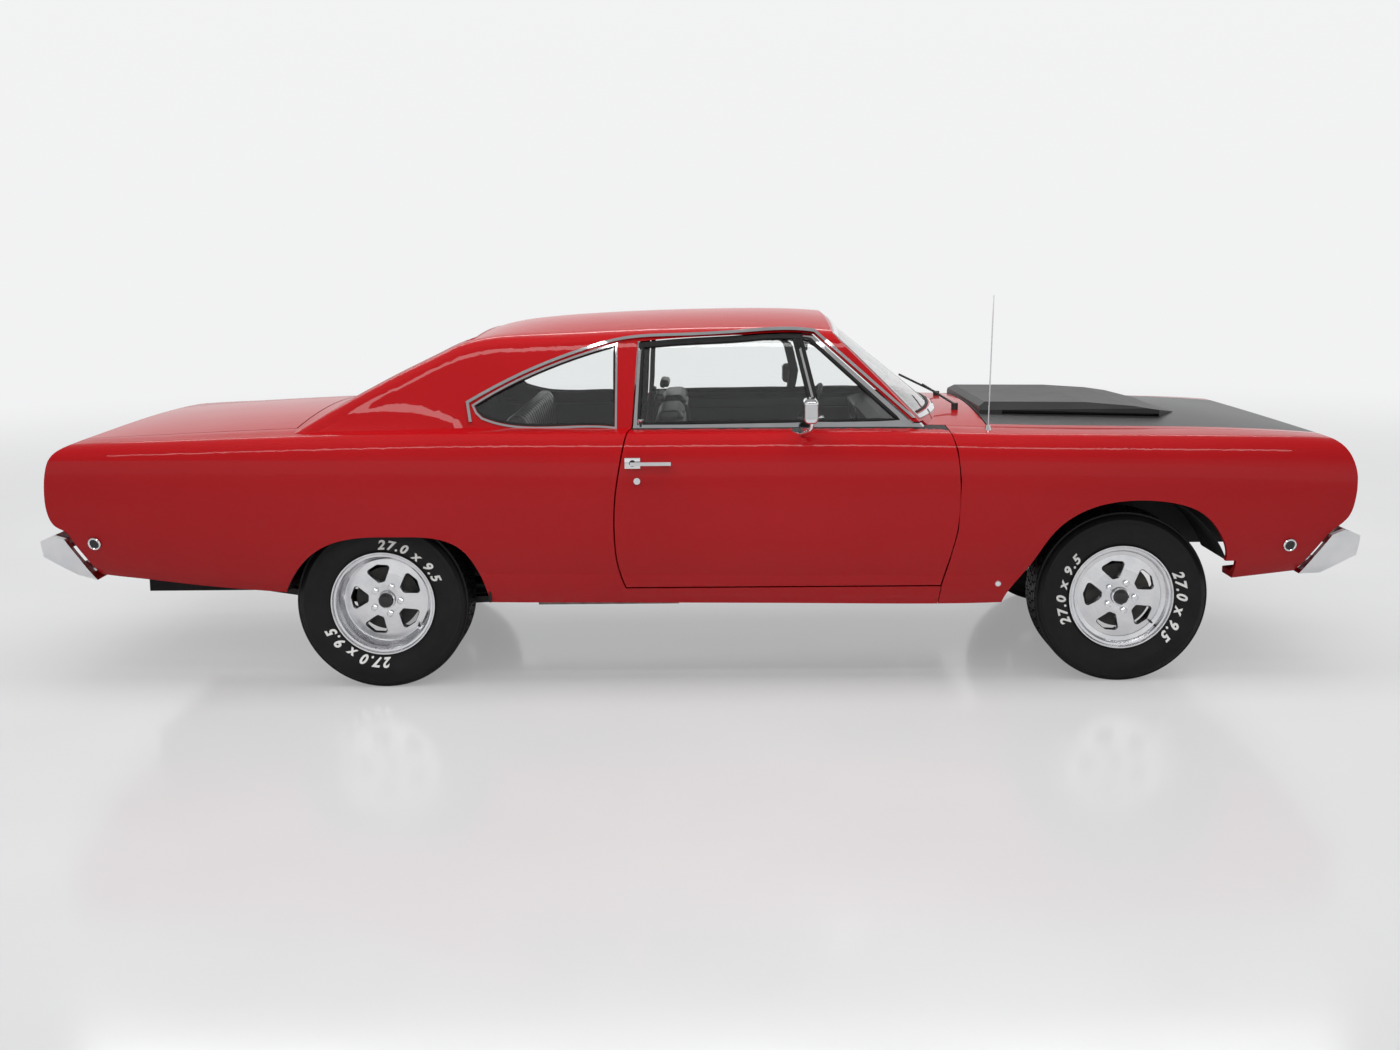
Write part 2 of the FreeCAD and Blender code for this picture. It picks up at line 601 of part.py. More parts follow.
# Body shell: roof, pillars, quarters, sills and cowl in one welded skin
shell = outer.cut([inside_cabin, cabin_room, trunk_room, engine_room, axle_room])
shell = shell.cut([both(door_opening()), rear_arch, both(rear_house.common(inner_lower))])
shell = shell.cut([both(quarter_window), screen_opening(0.0), backlight_opening(0.0), lid_hole, hood_hole])
shell = shell.cut([fender_cut, nose_region, both(lamp_pocket), both(marker_hole("rear"))])
LEDGE_THICK, LEDGE_WIDE, PROUD = 8.0, 32.0, 12.0


def gutter(hole, shrink):
    """The ledge under the edge of a lid, as wide as its sealing strip."""
    b = hole.BoundBox
    middle = box(b.XMin + shrink, b.XMax - shrink, b.YMin + shrink, b.YMax - shrink, b.ZMin - 1, b.ZMax + 1)
    ring = hole.cut(middle)
    ring = ring.common(tub(PROUD, LID_THICK + RUB)).cut(tub(PROUD, LID_THICK + RUB + LEDGE_THICK))
    return ring.common(lower)


shell = shell.fuse(gutter(lid_hole, LEDGE_WIDE).common(trunk_room.fuse(lid_hole)))
nodes = {"body_shell": lone(shell)}

# Front fenders, open inside for the turned wheel, and the panel round the grille
STEER_REACH, STEER_ROOM_Y = 430.0, 930.0
fender = lower.common(fender_region).cut(lower_inside).cut(side_tool(ARCH_FRONT, 0.0, y_in=-ARCH_DEPTH_Y))
steer_room = box(AXLE_FRONT_X, AXLE_FRONT_X + STEER_REACH, -STEER_ROOM_Y, -ARCH_DEPTH_Y, 200.0, Z(500.0))
fender = lone(fender.cut([grille_hole, marker_hole("front"), steer_room]))
nodes["fender_right"] = fender
nodes["fender_left"] = mirrored(fender)
nose_panel = lower.common(nose_region).cut(lower_inside).cut(grille_hole).cut(hood_hole)
nodes["nose_panel"] = Part.makeCompound(sorted(nose_panel.Solids, key=lambda q: -q.Volume)[:2])

# Hood and deck lid, each a pressed sheet of the same thickness as its frame
lid_inside = tub(PROUD, LID_THICK)
hood = lower.common(box(HOOD_REAR_X, HOOD_FRONT_X, -HOOD_HALF, HOOD_HALF, HOOD_OPEN_Z, ABOVE)).cut(lid_inside)
nodes["hood"] = lone(hood)
deck = lower.common(box(LID_REAR_X, LID_FRONT_X, -LID_HALF, LID_HALF, LID_OPEN_Z, ABOVE)).cut(lid_inside)
nodes["deck_lid"] = lone(deck)

# Raised middle of the hood, with a mouth along each side
BULGE_HALF, BULGE_LEAN = 480.0, 70.0
BULGE_LINE = [(958, 1000), (958, 1072), (985, 1089), (1400, 1084), (1600, 1068), (1700, 1052), (1800, 1030),
              (1800, 1000)]
MOUTH_LINE = [(1050, 1030), (1050, 1058), (1700, 1036), (1700, 1005)]
MOUTH_DEEP = 45.0
bulge = plate_y([(X(s), Z(h)) for s, h in BULGE_LINE], -BULGE_HALF, BULGE_HALF)
side_lean = plate_x([(-BULGE_HALF - 1, Z(1058.0)), (-BULGE_HALF + BULGE_LEAN, Z(1100.0)),
                     (-BULGE_HALF - 1, Z(1100.0))], X(900), X(1850))
nose_lean = plate_z([(X(1700), -BULGE_HALF - 1), (X(1801), -BULGE_HALF - 1), (X(1801), -BULGE_HALF + 160)],
                    HOOD_OPEN_Z, ABOVE)
mouth = plate_y([(X(s), Z(h)) for s, h in MOUTH_LINE], -BULGE_HALF - 1, -BULGE_HALF + MOUTH_DEEP)
bulge = bulge.cut([both(side_lean), both(nose_lean), both(mouth)]).cut(lower)
nodes["hood_scoops"] = lone(bulge)

# Doors: a full-depth panel, a bright window frame with vent divider, mirror and handle, and the glass
door = lower.common(door_tool(0.0)).cut(box(X(-700), X(900), -DOOR_INNER_Y, 0, BELOW, ABOVE))
nodes["door_right"] = lone(door)
FRAME_OUT, FRAME_IN, FRAME_GAP = 4.0, 30.0, 6.0
frame_band = roof_sheet(door_tool(0.0), FRAME_OUT, FRAME_IN).cut(door_window).cut(lower)
frame_band = frame_band.cut(ahead_of_screen(FRAME_GAP))
VENT_LINE = [(176, 1390), (201, 1390), (261, 1141), (247, 1020), (221, 1020), (235, 1141)]
divider = plate_y([(X(s), Z(h)) for s, h in VENT_LINE], -900.0, -560.0).common(door_window)
divider = roof_sheet(divider, FRAME_OUT + 2.0, FRAME_IN - 6.0)
frame_band = lone(frame_band).fuse(divider)
HANDLE_Z = Z(912.0)
handle = box(X(-470), X(-312), -992.0, -984.0, HANDLE_Z - 7, HANDLE_Z + 7)
for x in (X(-462), X(-330)):
    handle = handle.fuse(box(x - 8, x + 8, -985.0, -940.0, HANDLE_Z - 6, HANDLE_Z + 6))
handle = handle.cut(lower)
lock = cylinder(13.0, 60.0, (X(-445), -945.0, Z(843.0)), (0, 1, 0)).cut(lower)
MIRROR_HEAD = (56.0, 112.0, 96.0)
MIRROR_PLACE = V(X(200), -1034.0, Z(1064.0))
mirror = Part.makeBox(*MIRROR_HEAD, MIRROR_PLACE)
mirror = mirror.makeFillet(20.0, mirror.Edges)
arm_line = [V(X(182), -872.0, Z(1006.0)), V(X(200), -915.0, Z(1016.0)), V(X(226), -955.0, Z(1034.0)),
            V(X(230), -978.0, Z(1080.0))]
arm_curve = Part.BSplineCurve()
arm_curve.interpolate(arm_line)
arm_end = Part.Wire(Part.makeCircle(8.0, arm_line[0], arm_curve.tangent(arm_curve.FirstParameter)[0]))
mirror = mirror.fuse(Part.Wire(arm_curve.toShape()).makePipeShell([arm_end], True, False))
mirror = mirror.fuse(cylinder(22.0, 44.0, (X(182), -868.0, Z(1004.0)), (0, -0.3, 1))).cut(lower)
lock = max(lock.Solids, key=lambda q: -q.CenterOfMass.y)
trim_pieces = [frame_band.Solids[0], lone(handle), lock, lone(mirror)]
nodes["door_right_trim"] = Part.makeCompound(trim_pieces)
door_pane = roof_sheet(door_window, GLASS_RECESS, GLASS_RECESS + GLASS)
door_pane = door_pane.cut([divider, lower, ahead_of_screen(FRAME_GAP)])
nodes["door_right_glass"] = Part.makeCompound(sorted(door_pane.Solids, key=lambda q: -q.Volume)[:2])
for piece in ("door_right", "door_right_trim", "door_right_glass"):
    nodes[piece.replace("right", "left")] = mirrored(nodes[piece])

# Fixed glass and bright mouldings
front_pane = ahead_of_screen(GLASS_RECESS + GLASS).cut(ahead_of_screen(GLASS_RECESS))
front_pane = front_pane.common(screen_opening(0.0))
back_pane = roof_sheet(backlight_opening(0.0), GLASS_RECESS, GLASS_RECESS + GLASS)
quarter_pane = lone(roof_sheet(quarter_window, GLASS_RECESS, GLASS_RECESS + GLASS).cut(lower))
nodes["fixed_glass"] = Part.makeCompound([lone(front_pane), lone(back_pane), quarter_pane, mirrored(quarter_pane)])
SIDE_OPENING = [(652, 1046, True), (258, 1392, True), (204, 1398, False), (-37, 1392, False), (-277, 1382, False),
                (-518, 1367, False), (-680, 1323, False), (-842, 1264, False), (-1006, 1189, False),
                (-1112, 1132, True), (-1096, 1046, True)]
RAIL_PROUD = 8.0
rail = roof_sheet(side_tool(SIDE_OPENING, 16.0).cut(side_tool(SIDE_OPENING, 5.0)), -RAIL_PROUD, 0.0)
rail = rail.cut(box(X(-1300), X(900), -1100.0, 0.0, 0.0, Z(1062.0))).cut(ahead_of_screen(0.0))
screen_ring = ahead_of_screen(0.0).cut(ahead_of_screen(-5.0))
screen_ring = screen_ring.common(screen_opening(15.0)).cut(screen_opening(2.0))
back_ring = roof_sheet(backlight_opening(15.0).cut(backlight_opening(2.0)), -4.0, 0.0)
quarter_ring = side_tool(QUARTER_WINDOW, 9.0).cut(side_tool(QUARTER_WINDOW, 1.0))
quarter_ring = roof_sheet(quarter_ring, -3.0, 0.0).cut(lower)
moulding = [lone(rail), lone(quarter_ring)]
moulding += [mirrored(piece) for piece in moulding]
moulding += [lone(screen_ring.cut(lower)), lone(back_ring.cut(lower))]
nodes["window_trim"] = Part.makeCompound(moulding)

# Bumpers that wrap round the corners
BUMPER_OUT, BUMPER_IN = 22.0, -8.0
PLATE_PITCH, PLATE_HOLE_R = 177.8, 3.3
bumper_plan = plan_block(LENGTH / 2 - PLAN_BOW, PLAN_BOW - LENGTH / 2, HALF_WIDTH + 24.0, 70.0)
bumper_hull = tub(BUMPER_OUT, 0.0).common(bumper_plan)
bumper_core = tub(BUMPER_IN, 0.0).common(plan_block(X(2366), X(-2796), HALF_WIDTH + 24.0, 60.0))
BRACKET_Y, BRACKET_W, BRACKET_H = 400.0, 60.0, 50.0
BRACKETS = {"front_bumper": (X(2200), X(2378), Z(556.0)), "rear_bumper": (X(-2810), X(-2600), Z(580.0))}
for name, points in (("front_bumper", BUMPER_FRONT), ("rear_bumper", BUMPER_REAR)):
    bar = plate_y([(X(s), Z(h)) for s, h in points], -HALF_WIDTH - 40.0, HALF_WIDTH + 40.0)
    bar = bumper_hull.common(bar).cut(bumper_core)
    back, ahead, middle = BRACKETS[name]
    for y in (-PLATE_PITCH / 2, PLATE_PITCH / 2):
        bar = bar.cut(cylinder(PLATE_HOLE_R, LENGTH * 2, (0, y, middle), (1, 0, 0)))
    bracket = box(back, ahead, BRACKET_Y, BRACKET_Y + BRACKET_W, middle - BRACKET_H / 2,
                  middle + BRACKET_H / 2)
    nodes[name] = lone(bar.fuse(both(bracket.cut(lower))))

# Grille, lamps and markers
GRILLE_X = X(2318)
bars = [box(GRILLE_X - 30.0, GRILLE_X - 12.0, -GRILLE_HALF + 2, GRILLE_HALF - 2, GRILLE_LOW, GRILLE_HIGH)]
BAR_STEP, BAR_HALF = 46.0, 4.0
LAMP_SPOTS = (560.0, 735.0)
LAMP_R = 74.0
LAMP_Z = (GRILLE_LOW + GRILLE_HIGH) / 2
count = int((LAMP_SPOTS[0] - LAMP_R - 20.0) / BAR_STEP)
for i in range(-count, count + 1):
    y = i * BAR_STEP
    bars.append(box(GRILLE_X - 13.0, GRILLE_X + 14.0, y - BAR_HALF, y + BAR_HALF, GRILLE_LOW, GRILLE_HIGH))
bars.append(box(GRILLE_X - 13.0, GRILLE_X + 18.0, LAMP_R - LAMP_SPOTS[0], LAMP_SPOTS[0] - LAMP_R,
                LAMP_Z - 7, LAMP_Z + 7))
grille = union(bars)
lamps = []
for y in LAMP_SPOTS + tuple(-v for v in LAMP_SPOTS):
    grille = grille.cut(cylinder(LAMP_R + 8, 100.0, (GRILLE_X, y, LAMP_Z), (1, 0, 0)))
    bezel = cylinder(LAMP_R + 8, 44.0, (GRILLE_X - 8.0, y, LAMP_Z), (1, 0, 0))
    bezel = bezel.cut(cylinder(LAMP_R, 50.0, (GRILLE_X - 8.0, y, LAMP_Z), (1, 0, 0)))
    dome = Part.makeSphere(230.0, V(GRILLE_X + 18.0 - 230.0, y, LAMP_Z))
    lens = dome.common(cylinder(LAMP_R, 60.0, (GRILLE_X, y, LAMP_Z), (1, 0, 0)))
    grille = grille.fuse(bezel)
    lamps.append(lone(lens))
nodes["grille"] = lone(grille)
nodes["headlamps"] = Part.makeCompound(lamps)
nodes["tail_lamps"] = both(tail_lamp(LAMP_PROUD))
markers = []
for key in MARKERS:
    disc = tub(5.0, 0.0).common(marker_hole(key)).cut(tub(-SKIN + 5.0, 0.0))
    markers.append(lone(disc))
nodes["side_markers"] = Part.makeCompound(markers + [mirrored(m) for m in markers])

# Seats
SEAT_Y, SEAT_HALF = 365.0, 255.0
REST_HALF = 130.0
CUSHION = [(-335, 545), (190, 560), (205, 600), (150, 645), (-330, 625)]
BACK = [(-330, 560), (-215, 640), (-268, 1110), (-330, 1120), (-398, 1100), (-395, 700)]
REST = [(-338, 1090), (-330, 1140), (-350, 1156), (-400, 1150), (-405, 1090)]
REAR_SEAT_HALF = 640.0
REAR_CUSHION = [(-1000, 520), (-540, 500), (-520, 560), (-560, 640), (-960, 600)]
REAR_BACK = [(-1000, 560), (-900, 600), (-868, 640), (-905, 1085), (-960, 1104), (-1010, 1080), (-1085, 640)]


def seat(y, half, cushion, back):
    """A seat whose cushion and back have side-view outlines."""
    slabs = [plate_y([(X(s), Z(h)) for s, h in part], y - half, y + half) for part in (cushion, back)]
    return union(slabs)


front_seat = union([seat(-SEAT_Y, SEAT_HALF, CUSHION, BACK),
                    plate_y([(X(s), Z(h)) for s, h in REST], -SEAT_Y - REST_HALF, -SEAT_Y + REST_HALF)])
nodes["front_seats"] = both(front_seat)
rear_seat = seat(0.0, REAR_SEAT_HALF, REAR_CUSHION, REAR_BACK)
RISER_HALF = 200.0
riser = box(X(-280), X(140), -SEAT_Y - RISER_HALF, -SEAT_Y + RISER_HALF, FLOOR_Z + FLOOR_THICK, Z(548.0))
risers = [riser.cut(front_seat), mirrored(riser.cut(front_seat)),
          box(X(-1100), X(-560), -600.0, 600.0, FLOOR_Z + FLOOR_THICK, Z(530.0)).cut(rear_seat)]

# Floor, rear floor over the axle, wheelhouses and rails
TUNNEL_HALF, TUNNEL_TOP, FLOOR_SHEET = 140.0, Z(500.0), 10.0
FLOOR_FRONT_X = FIREWALL_X - FIREWALL_THICK
floor = box(REAR_WALL_X, FLOOR_FRONT_X, -CABIN_HALF, CABIN_HALF, FLOOR_Z, FLOOR_Z + FLOOR_THICK)
hump = box(REAR_WALL_X, FLOOR_FRONT_X, -TUNNEL_HALF, TUNNEL_HALF, FLOOR_Z, TUNNEL_TOP)
hump_room = box(REAR_WALL_X - 100.0, FIREWALL_X, -TUNNEL_HALF + FLOOR_SHEET,
                TUNNEL_HALF - FLOOR_SHEET, BELOW, TUNNEL_TOP - FLOOR_SHEET)
floor = floor.fuse([hump] + risers)
floor = floor.fuse(box(REAR_WALL_X, REAR_WALL_X + 12.0, -CABIN_HALF, CABIN_HALF, FLOOR_Z, REAR_FLOOR_Z + SHEET))
floor = floor.fuse(box(AXLE_REAR_X - REAR_HOUSE_HALF, REAR_WALL_X, -REAR_HOUSE_Y, REAR_HOUSE_Y, REAR_FLOOR_Z,
                       REAR_FLOOR_Z + SHEET))
for side in (-1, 1):
    y0, y1 = sorted((side * REAR_HOUSE_Y, side * (REAR_HOUSE_Y - SHEET)))
    floor = floor.fuse(box(AXLE_REAR_X - REAR_HOUSE_HALF, AXLE_REAR_X + REAR_HOUSE_HALF, y0, y1, Z(400.0),
                           REAR_HOUSE_TOP + SHEET))
    y0, y1 = sorted((side * (REAR_HOUSE_Y - SHEET), side * HOUSE_OUT_Y))
    top = box(AXLE_REAR_X - REAR_HOUSE_HALF, AXLE_REAR_X + REAR_HOUSE_HALF, y0, y1, REAR_HOUSE_TOP,
              REAR_HOUSE_TOP + SHEET)
    floor = floor.fuse(top)
floor = floor.fuse(box(AXLE_REAR_X - REAR_HOUSE_HALF, AXLE_REAR_X - REAR_HOUSE_HALF + SHEET, -REAR_HOUSE_Y,
                       REAR_HOUSE_Y, Z(400.0), REAR_FLOOR_Z + SHEET))
RAIL_Y, RAIL_W, RAIL_H = 500.0, 70.0, 45.0
for side in (-1, 1):
    y0, y1 = sorted((side * RAIL_Y, side * (RAIL_Y - RAIL_W)))
    floor = floor.fuse(box(REAR_WALL_X, FLOOR_FRONT_X, y0, y1, FLOOR_Z - RAIL_H, FLOOR_Z))
    floor = floor.cut(rear_house if side < 0 else mirrored(rear_house))
    y0, y1 = sorted((side * (REAR_HOUSE_Y - SHEET), side * HOUSE_OUT_Y))
    floor = floor.fuse(box(AXLE_REAR_X + REAR_HOUSE_HALF, AXLE_REAR_X + REAR_HOUSE_HALF + SHEET, y0, y1,
                           FLOOR_Z, REAR_HOUSE_TOP + SHEET))
floor = floor.cut(hump_room).cut(nodes["body_shell"])
nodes["floor_pan"] = lone(floor)
nodes["rear_seat"] = lone(rear_seat.cut(nodes["body_shell"]).cut(nodes["floor_pan"]))

# Engine bay sheet metal: inner aprons, wheelhouses, front rails and radiator support
BAY_Y = HOOD_HALF + LID_GAP
bay = []
for side in (-1, 1):
    y0, y1 = sorted((side * BAY_Y, side * (BAY_Y - SHEET)))
    apron = box(FIREWALL_X, BAY_FRONT, y0, y1, FRONT_HOUSE_TOP, ABOVE)
    bay.append(apron.common(tub(PROUD, LID_THICK + RUB)))
    y0, y1 = sorted((side * BAY_Y, side * (ARCH_DEPTH_Y - SHEET)))
    bay.append(box(AXLE_FRONT_X - FRONT_HOUSE_HALF, AXLE_FRONT_X + FRONT_HOUSE_HALF, y0, y1, FRONT_HOUSE_TOP,
                   FRONT_HOUSE_TOP + SHEET))
    y0, y1 = sorted((side * ARCH_DEPTH_Y, side * (ARCH_DEPTH_Y - SHEET)))
    bay.append(box(FIREWALL_X, BAY_FRONT, y0, y1, ARM_HIGH_Z + 80.0, FRONT_HOUSE_TOP + SHEET))
    for end in (FIREWALL_X, BAY_FRONT - SHEET):
        y0, y1 = sorted((side * BAY_Y, side * ARCH_DEPTH_Y))
        bay.append(box(end, end + SHEET, y0, y1, Z(420.0), Z(940.0)))
    y0, y1 = sorted((side * 400.0, side * 330.0))
    bay.append(box(FIREWALL_X, BAY_FRONT, y0, y1, ARM_HIGH_Z + 32.0, ARM_HIGH_Z + 102.0))
    y0, y1 = sorted((side * ARCH_DEPTH_Y, side * 330.0))
    bay.append(box(FIREWALL_X, BAY_FRONT, y0, y1, ARM_HIGH_Z + 80.0, ARM_HIGH_Z + 88.0))
hood_ledge = gutter(hood_hole, LEDGE_WIDE)
bay.append(hood_ledge.common(box(HOOD_REAR_X - LID_GAP, BAY_FRONT, -BAY_Y, BAY_Y, BELOW, ABOVE)))
support = box(BAY_FRONT - SHEET, BAY_FRONT, -BAY_Y, BAY_Y, Z(420.0), Z(940.0))
support = support.cut(box(BAY_FRONT - 50.0, BAY_FRONT + 50.0, -310.0, 310.0, Z(470.0), Z(880.0)))
bay.append(support)
bay_shape = union(bay).cut(nodes["body_shell"]).cut(nodes["nose_panel"]).cut(both(door_tool(DOOR_GAP)))
nodes["engine_bay"] = lone(bay_shape)
RADIATOR = box(BAY_FRONT - SHEET - 60.0, BAY_FRONT - SHEET, -325.0, 325.0, Z(455.0), Z(895.0))

# Engine as one block at its real size and place, with gearbox, shaft and radiator
ENGINE_REAR, ENGINE_FRONT = X(860), X(1640)
SHAFT_Z = 372.0
engine = box(ENGINE_REAR, ENGINE_FRONT, -230.0, 230.0, Z(390.0), Z(760.0))
for side in (-1, 1):
    y0, y1 = sorted((side * 120.0, side * 300.0))
    engine = engine.fuse(box(ENGINE_REAR + 40, ENGINE_FRONT - 90, y0, y1, Z(620.0), Z(790.0)))
engine = engine.fuse(cylinder(185.0, 110.0, ((ENGINE_REAR + ENGINE_FRONT) / 2, 0, Z(855.0)), (0, 0, 1)))
engine = engine.fuse(cylinder(60.0, 120.0, ((ENGINE_REAR + ENGINE_FRONT) / 2, 0, Z(780.0)), (0, 0, 1)))
for side in (-1, 1):
    y0, y1 = sorted((side * 225.0, side * 330.0))
    engine = engine.fuse(box(AXLE_FRONT_X - 260, AXLE_FRONT_X - 200, y0, y1, ARM_HIGH_Z + 60, ARM_HIGH_Z + 90))
engine = engine.fuse(cylinder(230.0, 24.0, (ENGINE_FRONT + 150.0, 0, Z(670.0)), (1, 0, 0)))
engine = engine.fuse(cylinder(30.0, 150.0, (ENGINE_FRONT + 75.0, 0, Z(670.0)), (1, 0, 0)))
engine = engine.fuse(RADIATOR)
nodes["engine"] = Part.makeCompound(engine.Solids)

# Gearbox and propeller shaft
DIFF_R = 125.0
gearbox = Part.makeCone(150.0, 95.0, 330.0, V(ENGINE_REAR, 0, Z(400.0) + 30), V(-1, 0, -0.02))
gearbox = gearbox.fuse(cylinder(72.0, 560.0, (ENGINE_REAR - 500.0, 0, Z(400.0) + 10), (1, 0, 0.0)))
shaft_front = V(ENGINE_REAR - 700.0, 0, Z(400.0) + 5)
shaft_rear = V(AXLE_REAR_X + DIFF_R + 40.0, 0, TYRE_R + 8)
run = shaft_rear - shaft_front
gearbox = gearbox.fuse(Part.makeCylinder(38.0, run.Length, shaft_front, run))
mount_half = RAIL_Y - RAIL_W + 1.0
mount = box(ENGINE_REAR - 640.0, ENGINE_REAR - 560.0, -mount_half, mount_half, FLOOR_Z - RAIL_H, FLOOR_Z - 15.0)
gearbox = gearbox.cut(engine).fuse(mount)
gearbox = gearbox.cut(nodes["floor_pan"]).cut(nodes["body_shell"])
nodes["driveline"] = lone(gearbox)

# Rims and tyres
FRONT_RIM_W, REAR_RIM_W = 216.0, 240.0
PAD_THICK = 34.0
BEAD_IN = 12.0
BEAD_FACE = 17.0
RIM_DROP = 40.0


def revolve_y(points):
    """A ring about the Y axis from an (r, y) outline."""
    return Part.Face(polygon([(r, y, 0) for r, y in points])).revolve(V(0, 0, 0), V(0, 1, 0), 360)


def tyre(width, rim_width):
    """A tyre about the Y axis, its outer side towards -Y."""
    half, bead, tread = width / 2, rim_width / 2 - BEAD_FACE, width / 2 - 20.0
    side = [(TYRE_BEAD_R, bead), (TYRE_BEAD_R + 24.0, bead + 9.0), (265.0, half), (312.0, half - 3.0),
            (TYRE_R - 10.0, tread + 6.0), (TYRE_R, tread - 12.0)]
    points = [(r, -y) for r, y in side] + [(r, y) for r, y in reversed(side)]
    return revolve_y(points)


def rim(width, dish):
    """A five-spoke rim about the Y axis with lugs and centre cap, its outer side towards -Y."""
    half = width / 2
    seat = TYRE_BEAD_R - RUB
    inner = seat - RIM_WALL
    outside = [(RIM_LIP_R, half), (RIM_LIP_R, half - 7.0), (seat + 3.0, half - BEAD_IN + 1.0),
               (seat, half - BEAD_IN - 4.0), (seat, half - 52.0), (seat - 14.0, half - 72.0)]
    inside = [(inner - 14.0, half - 74.0), (inner, half - 54.0), (inner, half - 24.0), (inner + 4.0, half - 18.0),
              (inner + 8.0, half - 9.0), (RIM_LIP_R - 10.0, half - 8.0), (RIM_LIP_R - 5.0, half)]
    points = [(r, -y) for r, y in outside] + [(r, y) for r, y in reversed(outside)]
    points += [(r, y) for r, y in reversed(inside)] + [(r, -y) for r, y in inside]
    body = revolve_y(points)
    face = -half + dish
    disc = revolve_y([(0, face + 4.0), (60.0, face), (110.0, face + 2.0), (inner - 12.0, face + 10.0),
                      (inner - 12.0, face + PAD_THICK), (80.0, face + PAD_THICK), (0, face + PAD_THICK)])
    join = inner - 4.0 if dish > RIM_DROP else inner + 2.0
    disc = disc.fuse(revolve_y([(inner - 16.0, face + 4.0), (join, face), (join, face + PAD_THICK),
                                (inner - 16.0, face + PAD_THICK)]))
    for i in range(SPOKE_COUNT):
        mid = math.pi / 2 + WHEEL_TURN + i * 2 * math.pi / SPOKE_COUNT
        wires = []
        for grow, depth in ((8.0, face - 2.0), (0.0, face + 14.0), (0.0, face + PAD_THICK + 4.0)):
            corners = []
            for r, a in ((80.0 - grow, -0.10), (80.0 - grow, 0.10), (138.0 + grow / 2, 0.36),
                         (146.0 + grow / 2, 0.0), (138.0 + grow / 2, -0.36)):
                wide = grow * (1 if a > 0 else -1 if a < 0 else 0)
                u, w = r * math.cos(a), r * math.sin(a) + wide
                corners.append((u * math.cos(mid) - w * math.sin(mid), u * math.sin(mid) + w * math.cos(mid)))
            wires.append(rounded(corners, 12.0, lambda u, w: V(u, depth, w)))
        disc = disc.cut(Part.makeLoft(wires, True, True))
    disc = disc.cut(cylinder(HUB_R + RUNNING, PAD_THICK, (0, face + PAD_THICK / 2 + 14.0, 0), (0, 1, 0)))
    body = body.fuse(disc)
    body = body.fuse(cylinder(27.0, 26.0, (0, face + 1.0, 0), (0, 1, 0)))
    for i in range(LUG_COUNT):
        a = math.pi / 2 + WHEEL_TURN + (i + 0.5) * 2 * math.pi / LUG_COUNT
        spot = (LUG_CIRCLE_R * math.cos(a), face - 4.0, LUG_CIRCLE_R * math.sin(a))
        body = body.fuse(cylinder(10.0, 26.0, spot, (0, 1, 0)))
    return lone(body)


WHEELS = {"front": (FRONT_TRACK_HALF, AXLE_FRONT_X, FRONT_TYRE_W, FRONT_RIM_W, FRONT_DISH),
          "rear": (REAR_TRACK_HALF, AXLE_REAR_X, REAR_TYRE_W, REAR_RIM_W, REAR_DISH)}
pad_y = {}
for end, (track, x, width, rim_width, dish) in WHEELS.items():
    at = V(x, -track, TYRE_R)
    tyre_right = tyre(width, rim_width).translated(at)
    rim_right = rim(rim_width, dish).translated(at)
    nodes["tyre_" + end + "_right"] = tyre_right
    nodes["rim_" + end + "_right"] = rim_right
    nodes["tyre_" + end + "_left"] = mirrored(tyre_right)
    nodes["rim_" + end + "_left"] = mirrored(rim_right)
    pad_y[end] = track + rim_width / 2 - dish - PAD_THICK

# Front suspension: crossmember and arms, with an upright that turns about the kingpin
DRUM_R = 128.0
EYE_R = 26.0
front_pad = pad_y["front"] - RUB
upright = box(AXLE_FRONT_X - 28, AXLE_FRONT_X + 28, -KINGPIN_Y - 26, -KINGPIN_Y + 26, ARM_LOW_Z + ARM_THICK,
              ARM_HIGH_Z - ARM_THICK / 2 - 6)
upright = upright.fuse(cylinder(KINGPIN_R, ARM_HIGH_Z + ARM_THICK - ARM_LOW_Z,
                                (AXLE_FRONT_X, -KINGPIN_Y, (ARM_HIGH_Z + ARM_LOW_Z) / 2), (0, 0, 1)))
drum_len = front_pad - KINGPIN_Y - 34.0
upright = upright.fuse(cylinder(DRUM_R, drum_len, (AXLE_FRONT_X, -front_pad + drum_len / 2, TYRE_R), (0, 1, 0)))
upright = upright.fuse(cylinder(44.0, 60.0, (AXLE_FRONT_X, -KINGPIN_Y - 28.0, TYRE_R), (0, 1, 0)))
upright = upright.fuse(cylinder(HUB_R, 20.0, (AXLE_FRONT_X, -front_pad - 8.0, TYRE_R), (0, 1, 0)))
nodes["knuckle_right"] = lone(upright)
nodes["knuckle_left"] = mirrored(lone(upright))
ARM_PIVOT_Y = 350.0


